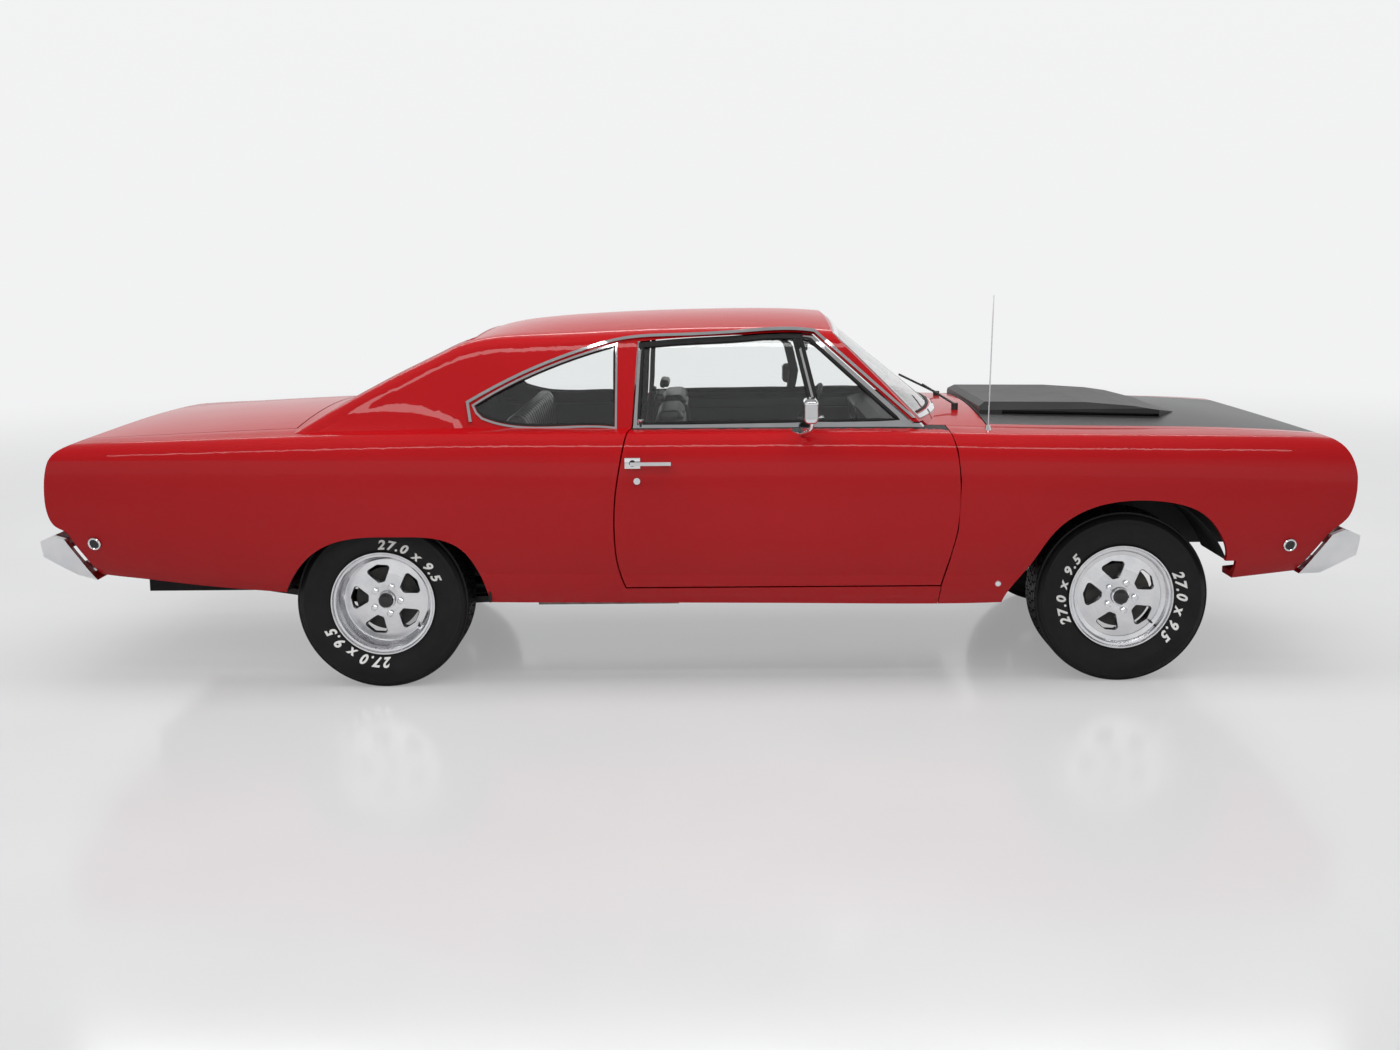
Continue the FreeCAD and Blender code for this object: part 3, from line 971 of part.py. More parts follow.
def arm(z, spread):
    """A wishbone from its body pivots out to the kingpin eye."""
    points = [(AXLE_FRONT_X - spread, -ARM_PIVOT_Y), (AXLE_FRONT_X + spread, -ARM_PIVOT_Y),
              (AXLE_FRONT_X + 24.0, -KINGPIN_Y + 6), (AXLE_FRONT_X - 24.0, -KINGPIN_Y + 6)]
    body = plate_z(points, z - ARM_THICK / 2, z + ARM_THICK / 2)
    body = body.fuse(cylinder(EYE_R, ARM_THICK, (AXLE_FRONT_X, -KINGPIN_Y, z), (0, 0, 1)))
    window = [(AXLE_FRONT_X - spread * 0.55, -ARM_PIVOT_Y - 50), (AXLE_FRONT_X + spread * 0.55, -ARM_PIVOT_Y - 50),
              (AXLE_FRONT_X, -ARM_PIVOT_Y - 210)]
    body = body.cut(plate_z(window, z - ARM_THICK, z + ARM_THICK))
    body = body.fuse(cylinder(20.0, 2 * spread, (AXLE_FRONT_X, -ARM_PIVOT_Y + 8.0, z), (1, 0, 0)))
    return body.cut(cylinder(KINGPIN_R + RUNNING, 3 * ARM_THICK, (AXLE_FRONT_X, -KINGPIN_Y, z), (0, 0, 1)))


cross = box(AXLE_FRONT_X - 110, AXLE_FRONT_X + 110, -ARM_PIVOT_Y, ARM_PIVOT_Y, ARM_LOW_Z - 25, ARM_LOW_Z + 55)
cross = cross.cut(box(AXLE_FRONT_X - 95, AXLE_FRONT_X + 95, -ARM_PIVOT_Y + 60, ARM_PIVOT_Y - 60, ARM_LOW_Z - 40,
                      ARM_LOW_Z + 35))
pieces = [cross]
for side in (-1, 1):
    y0, y1 = sorted((side * ARM_PIVOT_Y, side * (ARM_PIVOT_Y - 40)))
    pieces.append(box(AXLE_FRONT_X - 60, AXLE_FRONT_X + 60, y0, y1, ARM_LOW_Z, ARM_HIGH_Z + 32))
for z, spread in ((ARM_LOW_Z, 105.0), (ARM_HIGH_Z, 85.0)):
    pieces.append(arm(z, spread))
    pieces.append(mirrored(arm(z, spread)))
nodes["front_suspension"] = lone(union(pieces))

# Rear axle on leaf springs
rear_pad = pad_y["rear"] - RUB
axle = cylinder(AXLE_TUBE_R, 2 * (rear_pad - 30), (AXLE_REAR_X, 0, TYRE_R), (0, 1, 0))
axle = axle.fuse(Part.makeSphere(DIFF_R, V(AXLE_REAR_X, 0, TYRE_R)))
axle = axle.fuse(cylinder(60.0, 100.0, (AXLE_REAR_X + DIFF_R - 10.0, 0, TYRE_R + 6), (1, 0, 0)))
for side in (-1, 1):
    axle = axle.fuse(cylinder(DRUM_R, 60.0, (AXLE_REAR_X, side * (rear_pad - 30.0), TYRE_R), (0, 1, 0)))
    axle = axle.fuse(cylinder(HUB_R, 20.0, (AXLE_REAR_X, side * (rear_pad + 8.0), TYRE_R), (0, 1, 0)))
SPRING_FRONT, SPRING_REAR = X(-800), X(-2150)
SPRING_HALF_W, LEAF = 31.0, 22.0
spring_front_z, spring_rear_z = FLOOR_Z - RAIL_H, Z(385.0)
for side in (-1, 1):
    y = side * SPRING_Y
    low = Part.Arc(V(SPRING_FRONT, y - SPRING_HALF_W, spring_front_z),
                   V(AXLE_REAR_X, y - SPRING_HALF_W, TYRE_R - AXLE_TUBE_R - LEAF),
                   V(SPRING_REAR, y - SPRING_HALF_W, spring_rear_z - 20))
    high = Part.Arc(V(SPRING_FRONT, y - SPRING_HALF_W, spring_front_z + LEAF),
                    V(AXLE_REAR_X, y - SPRING_HALF_W, TYRE_R - AXLE_TUBE_R + 6),
                    V(SPRING_REAR, y - SPRING_HALF_W, spring_rear_z - 20 + LEAF))
    ends = [Part.LineSegment(low.StartPoint, high.StartPoint), Part.LineSegment(low.EndPoint, high.EndPoint)]
    wire = Part.Wire(Part.__sortEdges__([low.toShape(), high.toShape()] + [e.toShape() for e in ends]))
    leaf = Part.Face(wire).extrude(V(0, 2 * SPRING_HALF_W, 0))
    leaf = leaf.fuse(box(SPRING_FRONT - 30, SPRING_FRONT + 30, y - 36, y + 36, spring_front_z - 12, FLOOR_Z))
    leaf = leaf.fuse(box(SPRING_REAR - 24, SPRING_REAR + 24, y - 36, y + 36, spring_rear_z - 30, Z(460.0)))
    axle = axle.fuse(leaf)
axle = axle.cut(nodes["floor_pan"]).cut(nodes["body_shell"]).cut(nodes["driveline"])
nodes["rear_axle"] = lone(axle)

# Fuel tank and exhaust
tank = box(X(-2560), X(-1990), -420.0, 420.0, Z(310.0), Z(480.0)).cut(lower)
nodes["fuel_tank"] = lone(tank)
PIPE_R, PIPE_Y = 28.0, 300.0
MUFFLER = (X(-300), X(-900))
pipe_z = Z(284.0)
pipes = []
for side in (-1, 1):
    y = side * PIPE_Y
    path = [V(X(1000), side * 265, Z(560)), V(X(800), y, pipe_z + 60), V(X(560), y, pipe_z),
            V(X(-1100), y, pipe_z - 20), V(X(-1300), y, pipe_z - 30), V(X(-1680), y, pipe_z - 30),
            V(X(-1950), y, pipe_z + 16)]
    for a, b in zip(path, path[1:]):
        pipes.append(Part.makeCylinder(PIPE_R, (b - a).Length, a, b - a))
        pipes.append(Part.makeSphere(PIPE_R, b))
    pipes.append(box(MUFFLER[1], MUFFLER[0], y - 110, y + 110, pipe_z - 50, pipe_z + 50))
    for x in (X(-250), X(-960)):
        pipes.append(box(x - 8, x + 8, y - 8, y + 8, pipe_z, FLOOR_Z))
    pipes.append(box(X(-1920), X(-1904), y - 8, y + 8, pipe_z, Z(600)))
exhaust = union(pipes)
for name in ("body_shell", "floor_pan", "engine", "front_suspension", "driveline", "fuel_tank"):
    exhaust = exhaust.cut(nodes[name])
nodes["exhaust"] = Part.makeCompound([q for q in exhaust.Solids if q.Volume > 1e6])

# Dashboard with its column, and the steering wheel
dash_line = [(505, 1012), (560, 1026), (634, 1026), (640, 995), (752, 995), (752, 800), (600, 770), (520, 860)]
dash = plate_y([(X(s), Z(h)) for s, h in dash_line], -CABIN_HALF + 6, CABIN_HALF - 6)
WHEEL_HUB = V(X(262), 370.0, Z(925.0))
COLUMN = V(-0.88, 0, 0.475).normalize()
column = Part.makeCylinder(26.0, 430.0, WHEEL_HUB - COLUMN * (32.0 + RUB), V(0, 0, 0) - COLUMN)
dash = dash.fuse(column).cut(nodes["body_shell"])
nodes["dashboard"] = lone(dash)
WHEEL_R, GRIP_R = 195.0, 10.0
steer = Part.makeTorus(WHEEL_R, GRIP_R, WHEEL_HUB, COLUMN)
steer = steer.fuse(Part.makeCylinder(34.0, 36.0, WHEEL_HUB - COLUMN * 32.0, COLUMN))
for side in (-1, 1):
    spoke = Part.makeCylinder(9.0, WHEEL_R, WHEEL_HUB - COLUMN * 10.0, V(0, side, 0) + COLUMN * 0.05)
    steer = steer.fuse(spoke)
nodes["steering_wheel"] = lone(steer)

# Aerial and wipers
AERIAL = V(X(936), -818.0, Z(1000.0))
aerial = Part.makeCylinder(2.6, Z(1540.0) - AERIAL.z, AERIAL, V(0.024, 0, 1))
aerial = aerial.fuse(Part.makeCone(17.0, 8.0, 34.0, AERIAL, V(0, 0, 1))).cut(lower)
nodes["aerial"] = lone(aerial)
wipers = []
for y in (-380.0, 190.0):
    foot = V(X(868), y, Z(1040.0))
    arm_end = V(X(screen_x(y + 230, 1105.0, -14.0)), y + 230, Z(1105.0))
    run = arm_end - foot
    wiper = Part.makeCylinder(14.0, 40.0, foot, V(0, 0, 1))
    wiper = wiper.fuse(Part.makeCylinder(5.0, run.Length, foot + V(0, 0, 34.0), run))
    wipers.append(lone(wiper.cut(outer)))
nodes["wipers"] = Part.makeCompound(wipers)

os.makedirs("parts", exist_ok=True)
for name, shape in nodes.items():
    good = shape.isValid() and len(shape.Solids) > 0
    print(name, "ok" if good else "BAD", len(shape.Solids), [round(q.Volume / 1e6, 2) for q in shape.Solids][:6])
    shape.exportStep("parts/" + name + ".step")
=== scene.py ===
# %% [markdown]
# # A two-door muscle coupe
# The car's panels, glass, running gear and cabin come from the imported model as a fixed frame.
# This lesson gives every panel its finish and adds what is finer than sheet metal: tyre treads,
# wheel nuts, seats, trim, lamps and gauges.

# %% Load the car and note its size
import bpy
import math
from mathutils import Matrix, Vector
from mathutils.bvhtree import BVHTree


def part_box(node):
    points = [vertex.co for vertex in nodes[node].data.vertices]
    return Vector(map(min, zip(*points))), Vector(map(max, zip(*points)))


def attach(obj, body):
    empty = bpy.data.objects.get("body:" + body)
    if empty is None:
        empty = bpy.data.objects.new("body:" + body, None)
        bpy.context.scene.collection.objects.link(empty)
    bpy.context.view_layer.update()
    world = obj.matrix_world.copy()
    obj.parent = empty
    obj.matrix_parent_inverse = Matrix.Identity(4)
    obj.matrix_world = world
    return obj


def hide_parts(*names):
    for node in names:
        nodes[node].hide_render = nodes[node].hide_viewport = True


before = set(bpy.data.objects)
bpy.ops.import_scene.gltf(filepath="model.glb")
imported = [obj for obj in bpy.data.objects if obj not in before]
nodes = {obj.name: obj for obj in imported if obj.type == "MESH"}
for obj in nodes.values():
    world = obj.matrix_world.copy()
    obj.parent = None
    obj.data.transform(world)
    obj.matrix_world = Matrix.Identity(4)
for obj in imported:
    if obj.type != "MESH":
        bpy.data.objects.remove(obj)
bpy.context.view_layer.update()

# %% [markdown]
# ## Camera
# The photograph looks at the right-hand side from a little above, a good seven metres away. The lens and
# place were worked out from the two wheels, which are the same real size and a known distance apart.

# %% Camera at the photograph's place
LENS_MM, SENSOR_MM = 41.92, 36.0
CAMERA_PLACE = (0.0673, -7.2279, 1.7335)
CAMERA_YAW, CAMERA_DOWN, CAMERA_ROLL = 0.008676, 0.168532, -0.010069
camera_data = bpy.data.cameras.new("camera")
camera_data.lens = LENS_MM
camera_data.sensor_width = SENSOR_MM
camera = bpy.data.objects.new("camera", camera_data)
turn = Matrix.Rotation(CAMERA_YAW, 4, "Z") @ Matrix.Rotation(math.pi / 2 - CAMERA_DOWN, 4, "X")
camera.matrix_world = Matrix.Translation(CAMERA_PLACE) @ turn @ Matrix.Rotation(CAMERA_ROLL, 4, "Z")
bpy.context.scene.collection.objects.link(camera)
bpy.context.scene.camera = camera
print("camera", tuple(round(v, 3) for v in camera.location))

# %% [markdown]
# ## Materials
# A finish could be one colour, but real paint, rubber and vinyl vary a little everywhere. Each finish
# here is one shader with small node patterns for its colour, roughness and surface relief. The patterns
# read Object coordinates in metres, so grain stays the same size on every panel.


# %% Helpers for a finish
NOISE_DETAIL, RAMP_LOW, RAMP_HIGH = 3.0, 0.3, 0.7


def add_node(tree, kind, inputs=None, **settings):
    """Adds a shader node. An input that is given a socket is linked, and any other is set."""
    node = tree.nodes.new("ShaderNode" + kind)
    for setting, value in settings.items():
        setattr(node, setting, value)
    for key, value in (inputs or {}).items():
        if isinstance(value, bpy.types.NodeSocket):
            tree.links.new(value, node.inputs[key])
        else:
            node.inputs[key].default_value = value
    return node


def new_finish(name, roughness, metallic=0.0):
    """A material with its shader, ready for patterns."""
    material = bpy.data.materials.new(name)
    material.use_nodes = True
    shader = material.node_tree.nodes["Principled BSDF"]
    shader.inputs["Roughness"].default_value = roughness
    shader.inputs["Metallic"].default_value = metallic
    return material, material.node_tree, shader


def object_place(tree):
    return add_node(tree, "TexCoord").outputs["Object"]


def noise(tree, place, scale):
    inputs = {"Scale": scale, "Detail": NOISE_DETAIL, "Vector": place}
    return add_node(tree, "TexNoise", inputs).outputs["Fac"]


def drift(tree, place, scale, first, last):
    """A colour that drifts from first to last and back in patches."""
    node = add_node(tree, "ValToRGB", {"Fac": noise(tree, place, scale)})
    for element, position, colour in zip(node.color_ramp.elements, (RAMP_LOW, RAMP_HIGH), (first, last)):
        element.position = position
        element.color = (*colour, 1.0)
    return node.outputs["Color"]


def vary_roughness(tree, shader, value, low, high):
    node = add_node(tree, "MapRange", {"To Min": low, "To Max": high, "Value": value})
    tree.links.new(node.outputs["Result"], shader.inputs["Roughness"])


def relief(tree, shader, height, strength, depth):
    node = add_node(tree, "Bump", {"Strength": strength, "Distance": depth, "Height": height})
    tree.links.new(node.outputs["Normal"], shader.inputs["Normal"])


def plain_finish(name, first, last, roughness, metallic, patch, grain, depth, specular=0.5):
    """A finish that drifts between two colours in patches and has a fine grain."""
    material, tree, shader = new_finish(name, roughness[0], metallic)
    place = object_place(tree)
    tree.links.new(drift(tree, place, patch, first, last), shader.inputs["Base Color"])
    vary_roughness(tree, shader, noise(tree, place, patch * 3.0), *roughness)
    relief(tree, shader, noise(tree, place, grain), 0.6, depth)
    shader.inputs["Specular IOR Level"].default_value = specular
    return material


print("finish helpers ready")

# %% [markdown]
# ### Body paint
# The body is a deep glossy red under clear coat. The red itself is kept a little rough and a thin clear
# coat on top does the mirror work, which is how real two-stage paint reflects. The coat is a little
# weaker than a full one, so that the red stays deep. The relief is the faint "orange peel" of sprayed
# paint, a few millimetres across and microns deep.

# %% Red body paint
RED_DARK, RED_LIGHT = (0.352, 0.0018, 0.0042), (0.382, 0.0026, 0.0054)
red_paint = plain_finish("red_paint", RED_DARK, RED_LIGHT, (0.30, 0.36), 0.0, 1.3, 180.0, 0.00001, 0.05)
red_shader = red_paint.node_tree.nodes["Principled BSDF"]
red_shader.inputs["Coat Weight"].default_value = 0.5
red_shader.inputs["Coat Roughness"].default_value = 0.025
print("body paint", red_paint.name)

# %% [markdown]
# ### Two-colour hood
# The hood is satin black with a red strip left along each side. One material paints both: the distance
# from the middle of the car, read from Object coordinates, picks the colour and the roughness.

# %% Black hood with red edges
STRIPE_HALF, EDGE_BLUR = 0.700, 0.0006
BLACK_DARK, BLACK_LIGHT = (0.020, 0.020, 0.021), (0.029, 0.029, 0.030)
hood_paint, tree, shader = new_finish("hood_paint", 0.4)
place = object_place(tree)
split = add_node(tree, "SeparateXYZ", {"Vector": place})
across = add_node(tree, "Math", {0: split.outputs["Y"]}, operation="ABSOLUTE")
edge = add_node(tree, "MapRange", {"From Min": STRIPE_HALF - EDGE_BLUR, "From Max": STRIPE_HALF + EDGE_BLUR,
                                   "Value": across.outputs["Value"]})
dust = drift(tree, place, 6.0, BLACK_DARK, BLACK_LIGHT)
colours = add_node(tree, "Mix", {"Factor": edge.outputs["Result"], "A": dust, "B": (*RED_LIGHT, 1.0)},
                   data_type="RGBA")
tree.links.new(colours.outputs["Result"], shader.inputs["Base Color"])
vary_roughness(tree, shader, edge.outputs["Result"], 0.34, 0.14)
relief(tree, shader, noise(tree, place, 400.0), 0.5, 0.00003)
shader.inputs["Specular IOR Level"].default_value = 0.5
print("hood", hood_paint.name, "red beyond", STRIPE_HALF)

# %% [markdown]
# ### Metals, rubber and cabin finishes
# Chrome is a near-perfect mirror with a faint haze. The wheels are bare polished aluminium, softer and
# greyer. Rubber, underbody coating and vinyl are dark but never pure black. A row gives two colours, the
# range of the roughness, how metallic it is, patches and grains to a metre, and the depth of the grain.

# %% Metals and dark finishes
(black_paint, gloss_black, underbody, chrome, aluminium, iron, gear_metal, engine_paint, pipe_steel,
 cabin_plastic, carpet, seal_rubber, white_rubber) = (plain_finish(*row) for row in (
     ("black_paint", BLACK_DARK, BLACK_LIGHT, (0.38, 0.46), 0.0, 6.0, 400.0, 0.00003, 0.3),
     ("gloss_black", (0.012, 0.012, 0.013), (0.018, 0.018, 0.019), (0.08, 0.16), 0.0, 6.0, 200.0, 0.00002),
     ("underbody", (0.012, 0.012, 0.013), (0.024, 0.024, 0.024), (0.6, 0.8), 0.0, 5.0, 240.0, 0.0004, 0.2),
     ("chrome", (0.74, 0.75, 0.77), (0.84, 0.84, 0.85), (0.04, 0.09), 1.0, 9.0, 60.0, 0.00001),
     ("aluminium", (0.70, 0.71, 0.73), (0.80, 0.80, 0.81), (0.14, 0.28), 1.0, 14.0, 500.0, 0.00002),
     ("iron", (0.02, 0.02, 0.021), (0.05, 0.047, 0.043), (0.5, 0.75), 0.4, 18.0, 260.0, 0.0003),
     ("gear_metal", (0.28, 0.28, 0.28), (0.42, 0.42, 0.41), (0.4, 0.6), 0.9, 16.0, 320.0, 0.0002),
     ("engine_paint", (0.34, 0.05, 0.015), (0.42, 0.07, 0.02), (0.35, 0.5), 0.0, 12.0, 260.0, 0.0003),
     ("pipe_steel", (0.12, 0.11, 0.10), (0.24, 0.23, 0.21), (0.35, 0.55), 1.0, 22.0, 300.0, 0.0001),
     ("cabin_plastic", (0.009, 0.009, 0.010), (0.015, 0.015, 0.016), (0.45, 0.6), 0.0, 9.0, 900.0, 0.0002,
      0.3),
     ("carpet", (0.008, 0.008, 0.009), (0.016, 0.016, 0.017), (0.85, 0.95), 0.0, 60.0, 1500.0, 0.0012, 0.1),
     ("seal_rubber", (0.008, 0.008, 0.008), (0.014, 0.014, 0.014), (0.5, 0.65), 0.0, 20.0, 700.0, 0.00005,
      0.3),
     ("white_rubber", (0.72, 0.72, 0.70), (0.82, 0.82, 0.80), (0.5, 0.65), 0.0, 30.0, 500.0, 0.0001)))
print("finishes", len(bpy.data.materials))

# %% [markdown]
# ### Tyre rubber
# A tyre is dull black. The pattern is a fine grain and a slight drift of colour only, because the blocks
# and grooves of the tread are modelled.

# %% Tyre rubber
tyre_rubber = plain_finish("tyre_rubber", (0.0050, 0.0050, 0.0054), (0.0085, 0.0085, 0.0088), (0.42, 0.58),
                           0.0, 10.0, 700.0, 0.00006, 0.25)
print("tyres", tyre_rubber.name)

# %% [markdown]
# ### Glass and lenses
# Window glass is clear with a touch of green. The lamps use the same shader, red at the tail, with a
# slightly rough surface, which spreads the highlights as pressed glass does.

# %% Glass finishes
def glass_finish(name, first, last, roughness):
    material = plain_finish(name, first, last, (0.0, roughness), 0.0, 4.0, 8.0, 0.00001)
    shader = material.node_tree.nodes["Principled BSDF"]
    shader.inputs["Transmission Weight"].default_value = 1.0
    shader.inputs["IOR"].default_value = 1.45
    return material


window_glass = glass_finish("window_glass", (0.965, 0.985, 0.98), (0.98, 0.992, 0.99), 0.01)
lamp_glass = glass_finish("lamp_glass", (0.93, 0.94, 0.95), (0.97, 0.97, 0.98), 0.05)
red_lens = glass_finish("red_lens", (0.55, 0.01, 0.008), (0.65, 0.015, 0.01), 0.12)
print("glass", window_glass.name, lamp_glass.name, red_lens.name)

# %% [markdown]
# ### Seat vinyl
# The seats wear black vinyl with a leather grain: small cells from a Voronoi pattern, raised along their
# borders, on a colour that drifts slightly where the vinyl has been rubbed.

# %% Seat vinyl with a leather grain
GRAIN_CELLS = 420.0
vinyl, tree, shader = new_finish("vinyl", 0.42)
place = object_place(tree)
rubbed = drift(tree, place, 7.0, (0.010, 0.010, 0.011), (0.018, 0.018, 0.019))
tree.links.new(rubbed, shader.inputs["Base Color"])
cells = add_node(tree, "TexVoronoi", {"Scale": GRAIN_CELLS, "Vector": place})
relief(tree, shader, cells.outputs["Distance"], 0.35, 0.0003)
vary_roughness(tree, shader, noise(tree, place, 25.0), 0.34, 0.5)
print("vinyl grain cells per metre", GRAIN_CELLS)

# %% [markdown]
# ## Finish on every frame piece
# The model's pieces keep their shapes. Each gets its finish by the name of the piece, so that a reader
# can see at a glance what is painted, plated, glazed or left as bare metal.

# %% Finishes by piece
finishes = {}
for finish, names in (
        (red_paint, "body_shell fender_right fender_left nose_panel door_right door_left deck_lid"),
        (hood_paint, "hood"), (black_paint, "hood_scoops grille engine_bay wipers"),
        (chrome, "door_right_trim door_left_trim window_trim front_bumper rear_bumper aerial"),
        (lamp_glass, "headlamps"), (red_lens, "tail_lamps"), (gloss_black, "side_markers"),
        (window_glass, "door_right_glass door_left_glass fixed_glass"), (underbody, "floor_pan fuel_tank"),
        (engine_paint, "engine"), (gear_metal, "driveline"), (pipe_steel, "exhaust"),
        (iron, "front_suspension rear_axle knuckle_right knuckle_left"),
        (cabin_plastic, "dashboard steering_wheel"), (vinyl, "front_seats rear_seat"),
        (tyre_rubber, "tyre_front_right tyre_front_left tyre_rear_right tyre_rear_left"),
        (aluminium, "rim_front_right rim_front_left rim_rear_right rim_rear_left")):
    for name in names.split():
        finishes[name] = finish
for name, node in nodes.items():
    node.data.materials.clear()
    node.data.materials.append(finishes[name])
print("finished", len(finishes), "of", len(nodes))

# %% [markdown]
# ### Black cabin
# The panels are one piece through their whole thickness, so the inside of a door is the same mesh as its
# painted outside. A face looks into the cabin when most rays from it meet something a hand's breadth or
# more away: those faces take the black trim finish, and the narrow shut faces between panels stay red.

# %% Faces that look into the cabin
WALLS = ("body_shell door_right door_left door_right_glass door_left_glass door_right_trim door_left_trim "
         "fixed_glass floor_pan fender_right fender_left hood deck_lid engine_bay nose_panel").split()
HAND, LEAN, RAY_START, RAY_REACH = 0.09, 0.5, 0.0015, 4.0
CABIN_REAR, CABIN_FRONT, CABIN_LOW = -1.5, 1.02, 0.33
wall_points, wall_faces = [], []
for name in WALLS:
    mesh = nodes[name].data
    first = len(wall_points)
    wall_points += [vertex.co.copy() for vertex in mesh.vertices]
    wall_faces += [[first + i for i in face.vertices] for face in mesh.polygons]
closed_car = BVHTree.FromPolygons(wall_points, wall_faces)


def looks_inside(centre, normal):
    """True where most rays from a face meet another panel at a distance."""
    side = normal.orthogonal().normalized()
    other = normal.cross(side)
    far = 0
    for lean in (side * 0.0, side, -side, other, -other):
        ray = (normal + lean * LEAN).normalized()
        distance = closed_car.ray_cast(centre + normal * RAY_START, ray, RAY_REACH)[3]
        far += distance is not None and distance > HAND
    return far >= 3


def in_cabin(centre, normal):
    return CABIN_REAR < centre.x < CABIN_FRONT and centre.z > CABIN_LOW and looks_inside(centre, normal)


def add_finish(name, finish, rule):
    """Gives the faces of a frame piece that pass a rule a second finish."""
    mesh = nodes[name].data
    mesh.materials.append(finish)
    slot = len(mesh.materials) - 1
    chosen = [face for face in mesh.polygons if rule(face.center, face.normal)]
    for face in chosen:
        face.material_index = slot
    print(name, finish.name, len(chosen), "of", len(mesh.polygons))

print("cabin walls", len(wall_faces), "faces")

# %% [markdown]
# ### Rubber, ledges and carpet
# A door has rubber along its top, inside the glass, and the bright frames show rubber on their inner
# sides. The ledges beside and behind the rear bench are black, and the floor is carpeted.

# %% Other dark faces of the cabin
SIDES = ("right", "left")
SILL_LOW, SILL_OUT = 0.9, 0.835
FRAME_HALF, FRAME_TOP, FRAME_FRONT = 0.5, 1.335, 0.43
LEDGE_REAR, LEDGE_FRONT, LEDGE_HALF, LEDGE_LOW, LEDGE_HIGH = -1.15, -0.2, 0.80, 0.85, 1.10
CARPET_REAR = -0.93


def on_sill(centre, normal):
    return centre.z > SILL_LOW and normal.z > 0.6 and abs(centre.y) < SILL_OUT


def on_frame_end(centre, normal):
    return centre.z > FRAME_TOP and centre.x < FRAME_FRONT


def on_ledge(centre, normal):
    there = LEDGE_REAR < centre.x < LEDGE_FRONT and LEDGE_LOW < centre.z < LEDGE_HIGH
    looks_in = (normal.z > 0.3 or abs(normal.y) > 0.3) and normal.y * centre.y < 0.05
    return there and abs(centre.y) < LEDGE_HALF and looks_in


add_finish("body_shell", cabin_plastic, in_cabin)
for side in SIDES:
    add_finish("door_" + side, cabin_plastic, in_cabin)
    add_finish("door_" + side, seal_rubber, on_sill)
for sign in (-1, 1):
    for name in ("door_right_trim", "door_left_trim", "window_trim"):
        add_finish(name, seal_rubber,
                   lambda centre, normal: centre.y * sign > FRAME_HALF and normal.y * sign < -0.2)
for side in SIDES:
    add_finish("door_" + side + "_trim", seal_rubber, on_frame_end)
add_finish("body_shell", cabin_plastic, on_ledge)
add_finish("floor_pan", carpet, lambda centre, normal: centre.x > CARPET_REAR and in_cabin(centre, normal))

# %% [markdown]
# ### Dark wheel arches and underside
# The wheel arches and the hidden backs of the front fenders are sprayed with the same black coating as
# the floor. They are the faces that point towards the middle of the car or towards an axle.

# %% Faces inside the wheel arches
FRONT_AXLE_X, REAR_AXLE_X, TYRE_R = 1.688, -1.258, 0.3435
ARCH_NEAR, ARCH_FAR, FENDER_INSIDE = 0.33, 0.62, 0.96


def in_rear_arch(centre, normal):
    to_axle = Vector((REAR_AXLE_X - centre.x, 0.0, TYRE_R - centre.z))
    towards_it = abs(normal.y) < 0.7 and normal.dot(to_axle) > 0.1
    return ARCH_NEAR < to_axle.length < ARCH_FAR and towards_it


add_finish("body_shell", underbody, in_rear_arch)
for side, sign in zip(SIDES, (1, -1)):
    add_finish("fender_" + side, underbody,
               lambda centre, normal: normal.y * sign > 0.3 and abs(centre.y) < FENDER_INSIDE)

# %% [markdown]
# ## Helpers for new pieces
# Nearly every new piece starts as one of Blender's primitives and is shaped with edit-mode operators.
# Three starts cover most of the trim: a block with rounded edges, a turned piece made by spinning an
# outline, and a copy on the other side of the car.


# %% Helpers for shaping
MIRROR = Matrix.Diagonal((1.0, -1.0, 1.0, 1.0))
MERGE, BESIDE_CAR = 0.00002, -1.3
OUTWARDS = (bpy.ops.mesh.normals_make_consistent, {"inside": False})


def alone(piece):
    """Selects one piece and nothing else."""
    if bpy.context.mode != "OBJECT":
        bpy.ops.object.mode_set(mode="OBJECT")
    bpy.ops.object.select_all(action="DESELECT")
    piece.select_set(True)
    bpy.context.view_layer.objects.active = piece


def start(add, **settings):
    """Adds one of Blender's own shapes with nothing else selected."""
    bpy.ops.object.select_all(action="DESELECT")
    add(**settings)
    return bpy.context.object


def edit(piece, *steps):
    """Runs edit-mode steps on the whole of a piece. Each step is an operator with its settings."""
    alone(piece)
    bpy.ops.object.mode_set(mode="EDIT")
    bpy.ops.mesh.select_all(action="SELECT")
    for operator, settings in steps:
        operator(**settings)
    bpy.ops.object.mode_set(mode="OBJECT")


def edit_faces(piece, rule, *steps):
    """Runs edit-mode steps on the faces that pass a rule, and returns how many faces those are."""
    alone(piece)
    bpy.context.tool_settings.mesh_select_mode = (False, False, True)
    mesh = piece.data
    for part in (mesh.vertices, mesh.edges, mesh.polygons):
        part.foreach_set("select", [False] * len(part))
    chosen = [face for face in mesh.polygons if rule(face.center, face.normal)]
    for face in chosen:
        face.select = True
    count = len(chosen)
    bpy.ops.object.mode_set(mode="EDIT")
    for operator, settings in steps:
        operator(**settings)
    bpy.ops.object.mode_set(mode="OBJECT")
    return count


def bevel(offset, segments):
    """A bevel as an edit-mode step."""
    return bpy.ops.mesh.bevel, {"offset": offset, "segments": segments, "affect": "EDGES"}


def inset(thickness, depth=0.0, **settings):
    """An inset as an edit-mode step."""
    return bpy.ops.mesh.inset, {"thickness": thickness, "depth": depth, **settings}


def apply_modifier(piece, kind, **settings):
    alone(piece)
    modifier = piece.modifiers.new("shape", kind)
    for setting, value in settings.items():
        setattr(modifier, setting, value)
    bpy.ops.object.modifier_apply(modifier=modifier.name)


